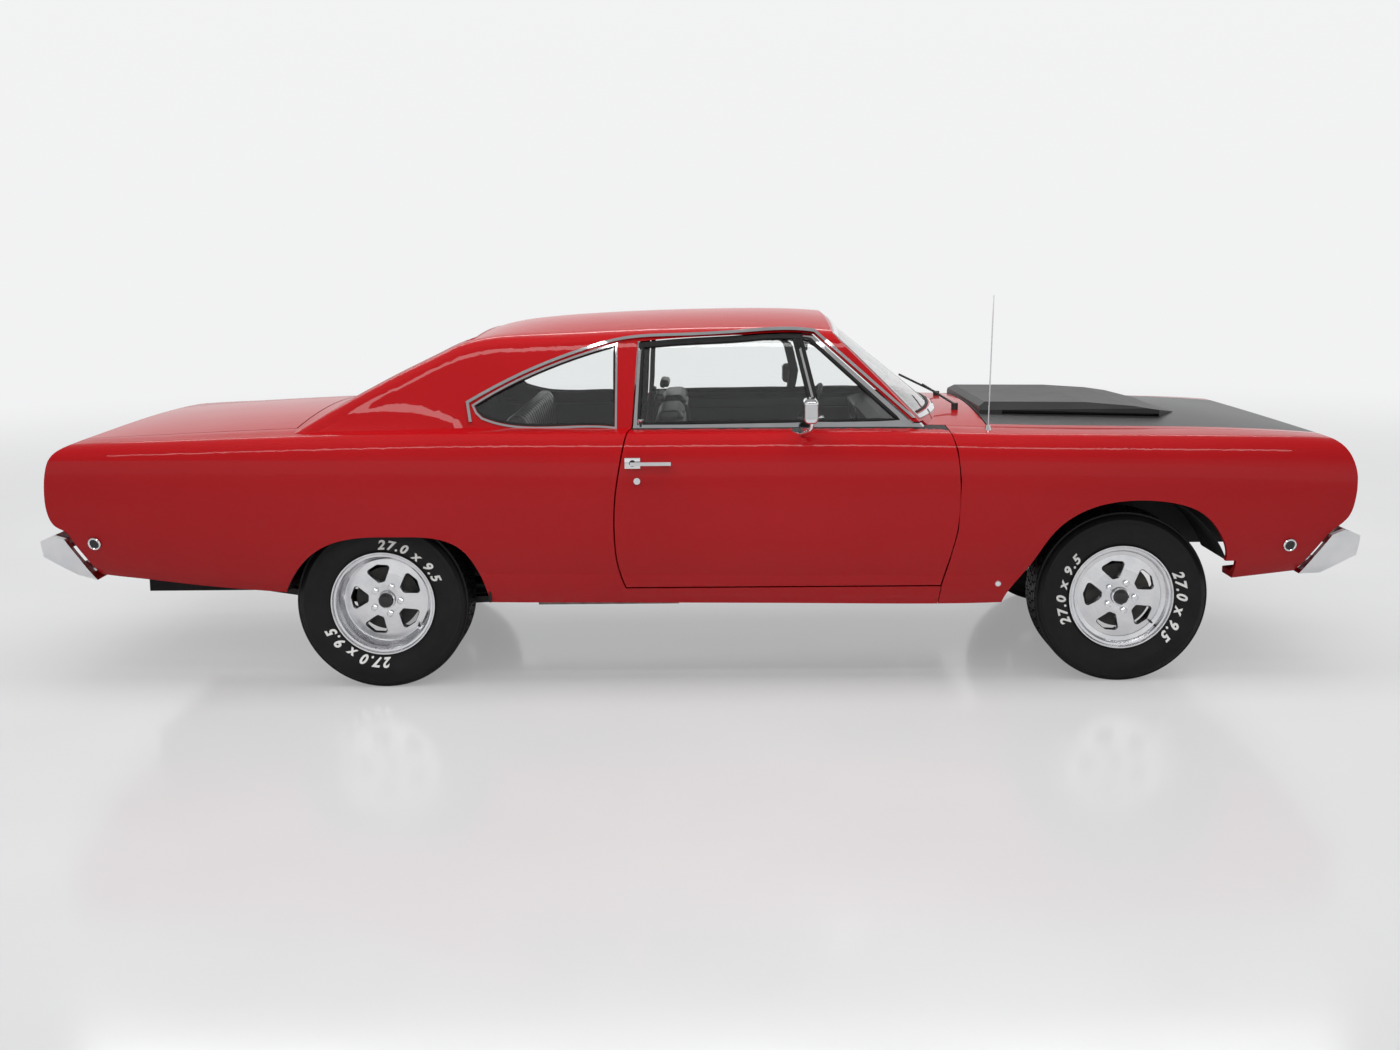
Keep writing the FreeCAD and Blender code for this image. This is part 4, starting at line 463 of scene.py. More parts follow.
def finish_piece(piece, name, finish, body, smooth=35.0):
    """Names a piece, puts its place into its mesh, and gives it a finish and a body to ride on."""
    alone(piece)
    bpy.ops.object.transform_apply(location=True, rotation=True, scale=True)
    piece.name = name
    piece.data.name = name
    piece.data.materials.clear()
    piece.data.materials.append(finish)
    bpy.ops.object.shade_smooth_by_angle(angle=math.radians(smooth))
    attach(piece, body)
    return piece


def box(centre, size):
    """A cube stretched to its size at its place."""
    piece = start(bpy.ops.mesh.primitive_cube_add, size=1.0, location=centre)
    piece.scale = size
    alone(piece)
    bpy.ops.object.transform_apply(location=True, rotation=True, scale=True)
    return piece


def block(name, centre, size, rounding, finish, body, segments=3):
    """A box with rounded edges."""
    piece = box(centre, size)
    edit(piece, bevel(rounding, segments))
    return finish_piece(piece, name, finish, body)


def spun(outline, steps):
    """A closed outline of (radius, height) points spun about the Z axis at the origin."""
    piece = start(bpy.ops.mesh.primitive_circle_add, vertices=len(outline), radius=1.0)
    for vertex, (radius, height) in zip(piece.data.vertices, outline):
        vertex.co = (radius, 0.0, height)
    whole_turn = {"steps": steps, "angle": 2 * math.pi, "center": (0, 0, 0), "axis": (0, 0, 1)}
    edit(piece, (bpy.ops.mesh.spin, whole_turn), (bpy.ops.mesh.select_all, {"action": "SELECT"}),
         (bpy.ops.mesh.remove_doubles, {"threshold": MERGE}), OUTWARDS)
    return piece


def turn_to(axis):
    """The turn that points a piece's own Z axis along another axis."""
    return Vector((0, 0, 1)).rotation_difference(Vector(axis)).to_matrix().to_4x4()


def turned(name, outline, place, axis, finish, body, steps=48):
    """A turned piece whose own Z axis points along axis at its place."""
    piece = spun(outline, steps)
    piece.data.transform(Matrix.Translation(place) @ turn_to(axis))
    return finish_piece(piece, name, finish, body)


def left_twin(piece, body, matrix=MIRROR):
    """A copy on the left with its own mesh. A matrix that mirrors turns the faces back outwards."""
    twin = piece.copy()
    twin.data = piece.data.copy()
    twin.name = piece.name.replace("right", "left")
    twin.data.name = twin.name
    bpy.context.scene.collection.objects.link(twin)
    twin.data.transform(matrix)
    if matrix.determinant() < 0:
        twin.data.flip_normals()
    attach(twin, body)
    return twin


def first_hit(name, place, way):
    """The place and the normal where a ray first meets a frame piece, both zero where it meets nothing."""
    return nodes[name].ray_cast(Vector(place), Vector(way))[1:3]


def skin_y(name, x, z):
    """Where a ray across the car from the right meets a frame piece."""
    place, normal = first_hit(name, (x, BESIDE_CAR, z), (0, 1, 0))
    return place.y, normal


print("helpers ready")

# %% [markdown]
# ### Splash shields
# A thin black sheet closes the front of each front arch behind the fender's lip, down to a little above
# the axle, and another closes the back of each rear wheelhouse out to the quarter, so that no daylight
# shows in the trunk. Each is a flat grid bent round its axle, outside the room that the tyre needs.

# %% Splash shields of the arches
SHIELD_R, SHIELD_LOW, SHIELD_HIGH = 0.427, math.radians(21), math.radians(62)
SHIELD_OUT, SHIELD_IN = -0.895, -0.560
HOUSE_R, HOUSE_START, HOUSE_END, HOUSE_IN = 0.425, math.radians(75), math.radians(172), -0.599

SHEET = 0.002


def arch_sheet(name, axle_x, radius, low, high, inner_y, outer_y):
    """A thin sheet bent round an axle, from inner_y out to what outer_y says for its place."""
    shield = start(bpy.ops.mesh.primitive_grid_add, x_subdivisions=16, y_subdivisions=4, size=1.0)
    for vertex in shield.data.vertices:
        angle = low + (vertex.co.x + 0.5) * (high - low)
        x, z = axle_x + radius * math.cos(angle), TYRE_R + radius * math.sin(angle)
        outer = outer_y(x, z)
        vertex.co = (x, outer + (vertex.co.y + 0.5) * (inner_y - outer), z)
    apply_modifier(shield, "SOLIDIFY", thickness=SHEET)
    edit(shield, OUTWARDS)
    finish_piece(shield, name + "_right", underbody, "body")
    left_twin(shield, "body")


def quarter_inside(x, z):
    """Where the quarter's inner face is, seen from the wheelhouse."""
    return first_hit("body_shell", (x, HOUSE_IN, z), (0, -1, 0))[0].y


arch_sheet("splash_shield", FRONT_AXLE_X, SHIELD_R, SHIELD_LOW, SHIELD_HIGH, SHIELD_IN,
           lambda x, z: SHIELD_OUT)
arch_sheet("wheelhouse_shield", REAR_AXLE_X, HOUSE_R, HOUSE_START, HOUSE_END, HOUSE_IN, quarter_inside)
print("shields meet the quarters at", round(quarter_inside(REAR_AXLE_X - HOUSE_R, TYRE_R + 0.2), 3))

# %% [markdown]
# ## Tyres
# A radial tyre is a thin bulged wall with ribs and a tread of separate rubber blocks. It could be a ring
# with a bump texture, but the blocks show against the light at the edge. So one cross-section outline is
# spun about the axle, the tread faces are picked in a staggered pattern, and those are extruded and
# scaled outwards, which leaves the grooves between them at the lower level.

# %% The cross-section of a tyre
WHEEL_SIZES = {"front": (FRONT_AXLE_X, 0.755, 0.240, 0.216), "rear": (REAR_AXLE_X, 0.752, 0.262, 0.240)}
TREAD_DEEP, LANE_WIDTH, BULGE = 0.007, 0.240, 29.0
SIDEWALL = [(0.1905, 0.0), (0.2, 3.5), (0.2085, 6.8), (0.2125, 9.6), (0.2165, 12.2), (0.2185, 12.3),
            (0.2215, 13.9), (0.2605, 26.6), (0.262, 27.6), (0.2645, 28.0), (0.272, 28.6), (0.285, 29.0),
            (0.3, 28.2), (0.3105, 26.0), (0.312, 26.4), (0.3155, 25.4), (0.3165, 24.2), (0.324, 20.0),
            (0.3305, 13.5), (0.3345, 6.0), (0.3365, 0.5)]
LANES = (0.0790, 0.0585, 0.0515, 0.0220, 0.0150)


def wall_y(radius, width, rim_width):
    """Half width of a tyre at a radius on its sidewall."""
    bead = rim_width / 2 - 0.017
    for (r0, b0), (r1, b1) in zip(SIDEWALL, SIDEWALL[1:]):
        if r0 <= radius <= r1:
            bulge = b0 + (b1 - b0) * (radius - r0) / (r1 - r0)
            return bead + bulge / BULGE * (width / 2 - bead)
    return bead


def tyre_outline(width, rim_width):
    """Outer wall, tread and inner wall as one closed outline of (radius, offset) points."""
    half = [(r, wall_y(r, width, rim_width)) for r, bulge in SIDEWALL]
    half += [(TYRE_R - TREAD_DEEP, y * width / LANE_WIDTH) for y in LANES]
    return half + [(r, -y) for r, y in reversed(half)]


print("outline points", len(tyre_outline(*WHEEL_SIZES["front"][2:])))

# %% Treads cut into blocks
AROUND, PITCH = 280, 5


def tread_step(centre):
    return math.floor(math.atan2(centre.y, centre.x) / (2 * math.pi) * AROUND) % AROUND


def tread_face(centre, normal, width):
    """The faces of the tread that become blocks, staggered from rib to rib."""
    if math.hypot(centre.x, centre.y) < TYRE_R - TREAD_DEEP - 0.002:
        return False
    offset = abs(centre.z) * LANE_WIDTH / width
    if offset > LANES[0]:
        return True
    in_groove = LANES[2] < offset < LANES[1] or LANES[4] < offset < LANES[3]
    shift = 0 if offset < LANES[4] else 1 if offset < LANES[2] else 2
    shift += 1 if centre.z > 0 else 0
    return not in_groove and (tread_step(centre) + shift) % PITCH != 0


def nick_face(centre, normal, width):
    """Every few steps a shallow nick is cut across the solid rib at the edge of the tread."""
    far_out = math.hypot(centre.x, centre.y) > TYRE_R - 0.002 and normal.to_2d().length > 0.9
    return far_out and abs(centre.z) * LANE_WIDTH / width > LANES[0] and tread_step(centre) % PITCH == 0


for end, (x, track, width, rim_width) in WHEEL_SIZES.items():
    tyre = spun(tyre_outline(width, rim_width), AROUND)
    grow = TYRE_R / (TYRE_R - TREAD_DEEP)
    count = edit_faces(tyre, lambda centre, normal: tread_face(centre, normal, width),
                       (bpy.ops.mesh.extrude_region_move, {}),
                       (bpy.ops.transform.resize, {"value": (grow, grow, 1.0), "center_override": (0, 0, 0)}))
    edit_faces(tyre, lambda centre, normal: nick_face(centre, normal, width),
               inset(0.0004, -0.0022, use_individual=True))
    tyre.data.transform(Matrix.Translation((x, -track, TYRE_R)) @ Matrix.Rotation(math.pi / 2, 4, "X"))
    finish_piece(tyre, "tread_" + end + "_right", tyre_rubber, "wheel_" + end + "_right", 30.0)
    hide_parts("tyre_" + end + "_right")
    other = left_twin(tyre, "wheel_" + end + "_left")
    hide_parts("tyre_" + end + "_left")
    print(tyre.name, "faces", len(tyre.data.polygons), "of the tread blocks", count)

# %% [markdown]
# ### White sidewall figures
# Raised white characters run round each outer sidewall in two arcs. Here they are plain size figures.
# Each line of text is turned into a mesh and then wrapped: distance along the line becomes an angle
# round the axle, height becomes radius, and the letter's depth follows the bulge of the sidewall.

# %% Figures wrapped round the sidewall
FIGURES, FIGURE_SIZE, FIGURE_R, FIGURE_RISE = "27.0 x 9.5", 0.0545, 0.2218, 0.0012


def figure_line():
    piece = start(bpy.ops.object.text_add)
    text = piece.data
    text.body, text.size, text.shear = FIGURES, FIGURE_SIZE, 0.25
    text.offset, text.resolution_u, text.extrude = 0.0019, 3, FIGURE_RISE
    text.space_character, text.align_x = 1.3, "CENTER"
    alone(piece)
    bpy.ops.object.convert(target="MESH")
    return bpy.context.object


def wrap_figures(piece, middle, x, track, width, rim_width):
    """Bends a line of figures round the axle, its middle at an angle measured from the front."""
    for vertex in piece.data.vertices:
        along, up, out = vertex.co
        radius = FIGURE_R + up
        angle = middle - along / (FIGURE_R + FIGURE_SIZE / 3)
        depth = wall_y(radius, width, rim_width) - 0.0004 + out
        vertex.co = (x + radius * math.cos(angle), -track - depth, TYRE_R + radius * math.sin(angle))


ARCS = {"front": (math.radians(-9), math.radians(172)), "rear": (math.radians(58), math.radians(-119))}
for end, (x, track, width, rim_width) in WHEEL_SIZES.items():
    for number, middle in enumerate(ARCS[end]):
        figures = figure_line()
        wrap_figures(figures, middle, x, track, width, rim_width)
        edit(figures, (bpy.ops.mesh.remove_doubles, {"threshold": MERGE / 2}), OUTWARDS)
        name = "figures_" + end + "_right_" + str(number)
        finish_piece(figures, name, white_rubber, "wheel_" + end + "_right")
        left_twin(figures, "wheel_" + end + "_left",
                  Matrix.Translation((2 * x, 0, 0)) @ Matrix.Diagonal((-1.0, -1.0, 1.0, 1.0)))
        print(name, "faces", len(figures.data.polygons))

# %% [markdown]
# ## Wheel caps and nuts
# The small black cap in the middle of each wheel sits in a bright ring, and five plated nuts hold the
# wheel. A cap is a short domed turning. A nut is a six-sided cylinder whose outer face is inset three
# times, for its slanted edge, its flat rim and its mouth. A wheel's five nuts are joined into one piece.

# %% Caps, nuts and valves
LUG_CIRCLE, WHEEL_TURN = 0.05715, math.radians(14)
NUT_R, NUT_LONG = 0.0128, 0.016
VALVE_R, VALVE_TURN = 0.166, math.radians(-40)
CAP_OUT, RING_OUT, NUT_OUT, VALVE_IN = 0.0115, 0.003, 0.0035, 0.008
DISH = {"front": 0.024, "rear": 0.082}
CAP = [(0.0, 0.019), (0.010, 0.0188), (0.020, 0.0172), (0.0265, 0.0142), (0.0275, 0.011), (0.0275, 0.0),
       (0.0, 0.0)]
CAP_RING = [(0.028, 0.0), (0.0355, 0.0), (0.0355, 0.006), (0.034, 0.0095), (0.0305, 0.0115), (0.028, 0.0105)]
VALVE = [(0.0, 0.024), (0.003, 0.0235), (0.0034, 0.013), (0.0045, 0.011), (0.0048, 0.0), (0.0, 0.0)]


def wheel_nut(place):
    nut = start(bpy.ops.mesh.primitive_cylinder_add, vertices=6, radius=NUT_R, depth=NUT_LONG,
                location=(0, 0, NUT_LONG / 2))
    alone(nut)
    bpy.ops.object.transform_apply(location=True, rotation=True, scale=True)
    edit_faces(nut, lambda centre, normal: normal.z > 0.9, inset(0.0022, 0.0016), inset(0.0028),
               inset(0.0006, -0.005))
    nut.data.transform(Matrix.Translation(place) @ Matrix.Rotation(math.pi / 2, 4, "X"))
    return nut


def round_axle(x, y, radius, angle):
    return (x + radius * math.cos(angle), y, TYRE_R + radius * math.sin(angle))


for end, (x, track, width, rim_width) in WHEEL_SIZES.items():
    face_y = -track - rim_width / 2 + DISH[end]
    body = "wheel_" + end + "_right"
    cap = turned("cap_" + end + "_right", CAP, (x, face_y - CAP_OUT, TYRE_R), (0, -1, 0), gloss_black, body,
                 36)
    ring = turned("cap_ring_" + end + "_right", CAP_RING, (x, face_y - RING_OUT, TYRE_R), (0, -1, 0), chrome,
                  body, 36)
    valve = turned("valve_" + end + "_right", VALVE, round_axle(x, face_y + VALVE_IN, VALVE_R, VALVE_TURN),
                   (0, -1, 0), seal_rubber, body, 12)
    angles = [math.pi / 2 + WHEEL_TURN + (number + 0.5) * 2 * math.pi / 5 for number in range(5)]
    nuts = [wheel_nut(round_axle(x, face_y - NUT_OUT, LUG_CIRCLE, angle)) for angle in angles]
    alone(nuts[0])
    for nut in nuts:
        nut.select_set(True)
    bpy.ops.object.join()
    nuts = finish_piece(bpy.context.object, "nuts_" + end + "_right", chrome, body, 25.0)
    for piece in (cap, ring, valve, nuts):
        left_twin(piece, body.replace("right", "left"))
    print("wheel dress", end, "nut faces", len(nuts.data.polygons))

# %% [markdown]
# ## Seats
# The front seats are separate buckets with head restraints, and the rear seat is one bench. Vinyl over
# foam is never flat: it swells between its seams. Each cushion starts as a block a little smaller than
# its place, gets an even skin of small faces, and is blown up by a cloth simulation. The sewn channels
# are pressed in afterwards, because the even skin would wipe them out.

# %% Blowing up a cushion
VOXEL, PRESSURE, CLOTH_FRAMES = 0.0095, 4.0, 20


def foam_block(side, middle, half, rounding):
    """A block with a four-cornered side view, (x, z) from the low rear corner round to the high rear one."""
    piece = start(bpy.ops.mesh.primitive_cube_add, size=2.0)
    low_rear, low_front, high_front, high_rear = side
    for vertex in piece.data.vertices:
        corner = ((low_rear, low_front), (high_rear, high_front))[vertex.co.z > 0][vertex.co.x > 0]
        vertex.co = (corner[0], middle + half if vertex.co.y > 0 else middle - half, corner[1])
    edit(piece, bevel(rounding, 3))
    apply_modifier(piece, "REMESH", mode="VOXEL", voxel_size=VOXEL)
    return piece


def blow_up(piece, most):
    """Cloth pressure swells the skin; no point may move further than most."""
    before = [vertex.co.copy() for vertex in piece.data.vertices]
    alone(piece)
    cloth = piece.modifiers.new("cloth", "CLOTH")
    cloth.settings.use_pressure = True
    cloth.settings.uniform_pressure_force = PRESSURE
    cloth.settings.effector_weights.gravity = 0.0
    for number in range(CLOTH_FRAMES):
        bpy.context.scene.frame_set(number + 1)
    bpy.ops.object.modifier_apply(modifier=cloth.name)
    bpy.context.scene.frame_set(1)
    for vertex, start in zip(piece.data.vertices, before):
        move = vertex.co - start
        if move.length > most:
            vertex.co = start + move.normalized() * most


def dent(piece, depth, wide, distance):
    """Presses in a sewn line. distance says how far a point is from it, or None where there is none."""
    normals = [vertex.normal.copy() for vertex in piece.data.vertices]
    for vertex, normal in zip(piece.data.vertices, normals):
        gap = distance(vertex.co, normal)
        if gap is not None and gap < 3 * wide:
            vertex.co -= normal * depth * math.exp(-(gap / wide) ** 2)


def cushion(name, side, middle, half, rounding, most, lines):
    """A blown-up cushion, one smoothing level, and its sewn lines, as (depth, width, distance)."""
    piece = foam_block(side, middle, half, rounding)
    blow_up(piece, most)
    apply_modifier(piece, "SUBSURF", levels=1, render_levels=1)
    for depth, wide, distance in lines:
        dent(piece, depth, wide, distance)
    finish_piece(piece, name, vinyl, "body", 80.0)
    print(name, "faces", len(piece.data.polygons))
    return piece


print("skin of the cushions in metres", VOXEL)

# %% [markdown]
# ### Sewn channels
# The middle of each cushion and back is sewn into narrow channels that run front to back and up and
# down. A seam runs along each side of them, and another across the front seats' ends and headrests. Each
# line is described by how far a point lies from it.

# %% Front seats
SEAT_Y, SEAT_HALF, CHANNEL, INSERT = -0.365, 0.241, 0.052, 0.156


def channels(middle, half, pitch, faces_out):
    """The channel lines of an insert, as (depth, width, distance to the nearest)."""
    def distance(point, normal):
        off = abs(point.y - middle)
        if off > half + 0.02 or not faces_out(normal):
            return None
        nearest = min(half, round((point.y - middle) / pitch) * pitch,
                      key=lambda y: abs(point.y - middle - y))
        return min(abs(point.y - middle - nearest), abs(off - half))
    return 0.006, 0.0055, distance


def cross_line(place, half, axis, faces_out, depth=0.006, wide=0.006):
    """A seam across a front seat at a place along x or z, as (depth, width, distance)."""
    def distance(point, normal):
        if abs(point.y - SEAT_Y) > half or not faces_out(normal):
            return None
        return abs(point[axis] - place)
    return depth, wide, distance


def looks_up(normal):
    return normal.z > 0.4


def looks_ahead(normal):
    return normal.x > 0.3


seat = cushion("seat_cushion_right", [(-0.104, 0.558), (0.396, 0.572), (0.368, 0.630), (-0.104, 0.612)],
               SEAT_Y, SEAT_HALF, 0.018, 0.013,
               [channels(SEAT_Y, INSERT, CHANNEL, looks_up), cross_line(0.335, 0.235, 0, looks_up)])
back = cushion("seat_back_right", [(-0.160, 0.660), (-0.022, 0.640), (-0.066, 1.092), (-0.158, 1.086)],
               SEAT_Y, SEAT_HALF, 0.020, 0.013,
               [channels(SEAT_Y, INSERT, CHANNEL, looks_ahead), cross_line(1.040, 0.235, 2, looks_ahead)])
headrest = cushion("headrest_right", [(-0.178, 1.098), (-0.132, 1.100), (-0.134, 1.140), (-0.174, 1.138)],
                   SEAT_Y, 0.118, 0.012, 0.010,
                   [cross_line(-0.150, 0.2, 0, lambda normal: abs(normal.x) < 0.8, 0.004, 0.005)])
for piece in (seat, back, headrest):
    twin = left_twin(piece, "body")
    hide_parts("front_seats")
    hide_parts("front_seats")

# %% Rear bench
BENCH_HALF, BENCH_INSERT, BENCH_CHANNEL = 0.625, 0.52, 0.0743
bench = cushion("bench_cushion", [(-0.760, 0.538), (-0.336, 0.520), (-0.352, 0.618), (-0.742, 0.588)],
                0.0, BENCH_HALF, 0.022, 0.013, [channels(0.0, BENCH_INSERT, BENCH_CHANNEL, looks_up)])
bench_back = cushion("bench_back", [(-0.820, 0.655), (-0.680, 0.640), (-0.704, 1.072), (-0.770, 1.076)],
                     0.0, BENCH_HALF, 0.022, 0.013, [channels(0.0, BENCH_INSERT, BENCH_CHANNEL, looks_ahead)])
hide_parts("rear_seat")
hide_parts("rear_seat")

# %% [markdown]
# ## Cabin fittings
# Through the glass one sees the door trims and the mirror. The door trim is a padded board on the flat
# inner face of the door. Its board is a block whose face is inset in two rounds, each a rim with a shallow
# groove inside it, and it carries an armrest, a pull handle and a window winder.

# %% Door trim boards
DOOR_INNER, GROOVE = 0.745, (inset(0.004, -0.003), inset(0.004, 0.003))
WINDER_ARM = [(0.0, 0.0), (0.011, 0.0), (0.011, 0.010), (0.008, 0.014), (0.0, 0.015)]
KNOB = [(0.0, 0.0), (0.006, 0.0), (0.0075, 0.010), (0.011, 0.016), (0.012, 0.026), (0.009, 0.031),
        (0.0, 0.032)]


def door_board():
    board = box((0.325, -DOOR_INNER + 0.0045, 0.735), (1.10, 0.009, 0.54))
    edit(board, bevel(0.004, 2))
    edit_faces(board, lambda centre, normal: normal.y > 0.99, inset(0.035), *GROOVE, inset(0.060), *GROOVE)
    return finish_piece(board, "door_board_right", vinyl, "door_right", 30.0)


def door_block(name, x, off, z, size, rounding, finish=chrome, segments=2):
    return block(name, (x, -DOOR_INNER + off, z), size, rounding, finish, "door_right", segments)


fittings = [
    door_board(),
    door_block("armrest_right", 0.16, 0.036, 0.775, (0.36, 0.062, 0.055), 0.018, vinyl, 3),
    turned("winder_right", WINDER_ARM, (0.52, -DOOR_INNER + 0.008, 0.755), (0, 1, 0), chrome, "door_right",
           24),
    door_block("winder_arm_right", 0.475, 0.020, 0.742, (0.105, 0.005, 0.014), 0.002),
    turned("winder_knob_right", KNOB, (0.43, -DOOR_INNER + 0.021, 0.742), (0, 1, 0), gloss_black,
           "door_right", 24),
    door_block("pull_handle_right", 0.56, 0.018, 0.90, (0.11, 0.012, 0.022), 0.005),
    door_block("pull_base_right", 0.595, 0.010, 0.90, (0.034, 0.014, 0.034), 0.005),
    turned("lock_knob_right", KNOB, (-0.22, -0.790, 1.035), (0, 0, 1), chrome, "door_right",
           16)]
for piece in fittings:
    left_twin(piece, "door_left")
print("door fittings", 2 * len(fittings))

# %% [markdown]
# ### Mirror and lever
# The inside mirror is a rounded block on a short stem below the roof, and a shift lever with a round knob
# stands on the floor tunnel. The stem, the lever and its knob are outlines spun about their own axis.

# %% Inside mirror and shift lever
LEAN_BACK = (-0.35, 0, 1)
STEM = [(0.0, 0.0), (0.006, 0.0), (0.006, 0.05), (0.014, 0.062), (0.014, 0.068), (0.0, 0.068)]
LEVER = [(0.0, 0.0), (0.034, 0.0), (0.030, 0.012), (0.009, 0.045), (0.0065, 0.06), (0.0055, 0.27),
         (0.0, 0.272)]
SHIFT_KNOB = [(0.0, 0.0), (0.012, 0.002), (0.021, 0.011), (0.025, 0.024), (0.021, 0.038), (0.011, 0.047),
              (0.0, 0.049)]
block("inside_mirror", (0.470, 0.0, 1.318), (0.022, 0.250, 0.062), 0.0105, cabin_plastic, "body",
      4)
turned("mirror_stem", STEM, (0.478, 0.0, 1.335), LEAN_BACK, chrome, "body", 16)
lever = turned("shift_lever", LEVER, (0.44, 0.0, 0.498), LEAN_BACK, chrome, "body", 24)
turned("shift_knob", SHIFT_KNOB, (0.353, 0.0, 0.747), LEAN_BACK, gloss_black, "body", 24)
print("mirror and", lever.name)

# %% [markdown]
# ### Gauges
# The gauge faces stand on the sloping front of the dashboard, in front of the driver. Each is a gloss
# black dial plate with a raised rim, with a needle and no numbers.

# %% Gauges
RING = [(0.0, 0.0), (0.050, 0.0), (0.050, 0.010), (0.047, 0.013), (0.043, 0.010), (0.042, 0.004),
        (0.0, 0.004)]
GAUGES_Y, GAUGE_Z, DIAL_IN, NEEDLE_OUT = (0.250, 0.370, 0.490), 0.975, 0.0005, 0.0046
for number, y in enumerate(GAUGES_Y):
    place, normal = first_hit("dashboard", (0.3, y, GAUGE_Z), (1, 0, 0))
    turned("dial_" + str(number), RING, place - normal * DIAL_IN, normal, gloss_black, "body",
           32)
    needle = block("needle_" + str(number), (0, 0, 0), (0.003, 0.032, 0.0015), 0.0006, white_rubber, "body",
                   1)
    needle.data.transform(Matrix.Translation(place + normal * NEEDLE_OUT) @ turn_to(normal))
print("dials on", tuple(round(v, 3) for v in place))

# %% [markdown]
# ## Window seals
# A black rubber seal holds each pane in its bright frame, and shows as a dark line between metal and
# glass. A seal follows the edge of its pane exactly, so its path is read from the pane: the border of the
# faces that look outwards. A curve along that border, rounded to a cord and made a mesh, is the seal.

# %% The border of a pane
SEAL_R, SEAL_OUT = 0.009, 0.0025
SCREEN_SEAL_R = 0.006


def pane_borders(name, rule):
    """The closed borders of the faces of a pane that pass a rule, as lists of points."""
    mesh = nodes[name].data
    spots = [tuple(round(v, 5) for v in vertex.co) for vertex in mesh.vertices]
    uses, outward = {}, {}
    for face in mesh.polygons:
        if rule(face.center, face.normal):
            for first, last in face.edge_keys:
                key = tuple(sorted((spots[first], spots[last])))
                uses[key] = uses.get(key, 0) + 1
                outward[spots[first]] = outward[spots[last]] = face.normal.copy()
    beside = {}
    for first, last in (key for key, count in uses.items() if count == 1):
        beside.setdefault(first, []).append(last)
        beside.setdefault(last, []).append(first)
    borders = []
    while beside:
        at = next(iter(beside))
        border = []
        while at in beside:
            border.append(Vector(at) + outward[at] * SEAL_OUT)
            at = next((other for other in beside.pop(at) if other in beside), None)
        borders.append(border)
    return [border for border in borders if len(border) > 3]


print("seals", SEAL_R, "and", SCREEN_SEAL_R, "thick")

# %% Seals along the borders
def seal(name, border, radius, body):
    line = bpy.data.curves.new(name, "CURVE")
    line.dimensions = "3D"
    line.bevel_depth, line.bevel_resolution = radius, 2
    spline = line.splines.new("POLY")
    spline.points.add(len(border) - 1)
    for point, place in zip(spline.points, border):
        point.co = (*place, 1.0)
    spline.use_cyclic_u = True
    piece = bpy.data.objects.new(name, line)
    bpy.context.scene.collection.objects.link(piece)
    alone(piece)
    bpy.ops.object.convert(target="MESH")
    return finish_piece(bpy.context.object, name, seal_rubber, body, 60.0)


def faces_right(centre, normal):
    return centre.y < -0.3 and normal.y < -0.5


def faces_end(centre, normal):
    ahead = 1 if centre.x > 0 else -1
    return abs(normal.y) < 0.5 and normal.x * ahead > 0.1 and normal.z > 0.3


def side_seals(name, pane, right_body, left_body):
    """Seals along the right-hand borders of a pane, and their twins on the left."""
    borders = pane_borders(pane, faces_right)
    pieces = [seal(name + "_right_" + str(number), border, SEAL_R, right_body)
              for number, border in enumerate(borders)]
    for piece in pieces:
        left_twin(piece, left_body)
    return 2 * len(pieces)


doors = side_seals("door_seal", "door_right_glass", "door_right", "door_left")
quarters = side_seals("quarter_seal", "fixed_glass", "body", "body")
ends = pane_borders("fixed_glass", faces_end)
for number, border in enumerate(ends):
    seal("screen_seal_" + str(number), border, SCREEN_SEAL_R, "body")
print("seals: doors", doors, "quarters", quarters, "screens", len(ends))

# %% [markdown]
# ## Small bright parts outside
# What is left outside is small: a blank badge, the door handle's plate with its push button, rings round
# the marker lamps, and the fender fastener. Each is set on the skin where a ray from the side meets the
# panel, so it sits on the metal from every view. Only the badge misses: its ray looks for the fender where
# the door is, and meets nothing, so it lies unseen in the middle of the car.

# %% Badge, handle plate and fastener
BUTTON = [(0.0, 0.010), (0.010, 0.0095), (0.0125, 0.007), (0.013, 0.0), (0.0, 0.0)]
BOLT = [(0.0, 0.006), (0.006, 0.0055), (0.011, 0.0035), (0.013, 0.0), (0.0, 0.0)]
BADGE_X, BADGE_Z, PLATE_X, PLATE_Z, BOLT_X, BOLT_Z = 0.872, 0.917, -0.247, 0.912, 1.187, 0.414
badge_y, badge_normal = skin_y("fender_right", BADGE_X, BADGE_Z)
badge = block("badge_right", (BADGE_X, badge_y - 0.0010, BADGE_Z), (0.094, 0.006, 0.019), 0.0018, chrome,
              "body", 2)
lean = Vector((0, -1, 0)).rotation_difference(badge_normal).to_matrix().to_4x4()
here = Matrix.Translation((BADGE_X, badge_y, BADGE_Z))
badge.data.transform(here @ lean @ here.inverted())
bolt_y, bolt_normal = skin_y("fender_right", BOLT_X, BOLT_Z)
fastener = turned("fastener_right", BOLT, (BOLT_X, bolt_y + 0.001, BOLT_Z), bolt_normal, chrome, "body",
                  20)
plate_y = skin_y("door_right", PLATE_X, PLATE_Z)[0]
plate = block("handle_plate_right", (PLATE_X, plate_y - 0.002, PLATE_Z), (0.062, 0.010, 0.044), 0.003, chrome,
              "door_right", 2)
button = turned("handle_button_right", BUTTON, (PLATE_X, plate_y - 0.006, PLATE_Z), (0, -1, 0), gloss_black,
                "door_right", 24)
for piece in (badge, fastener, plate, button):
    left_twin(piece, "door_left" if piece in (plate, button) else "body")
print("skin at the badge", round(badge_y, 4))

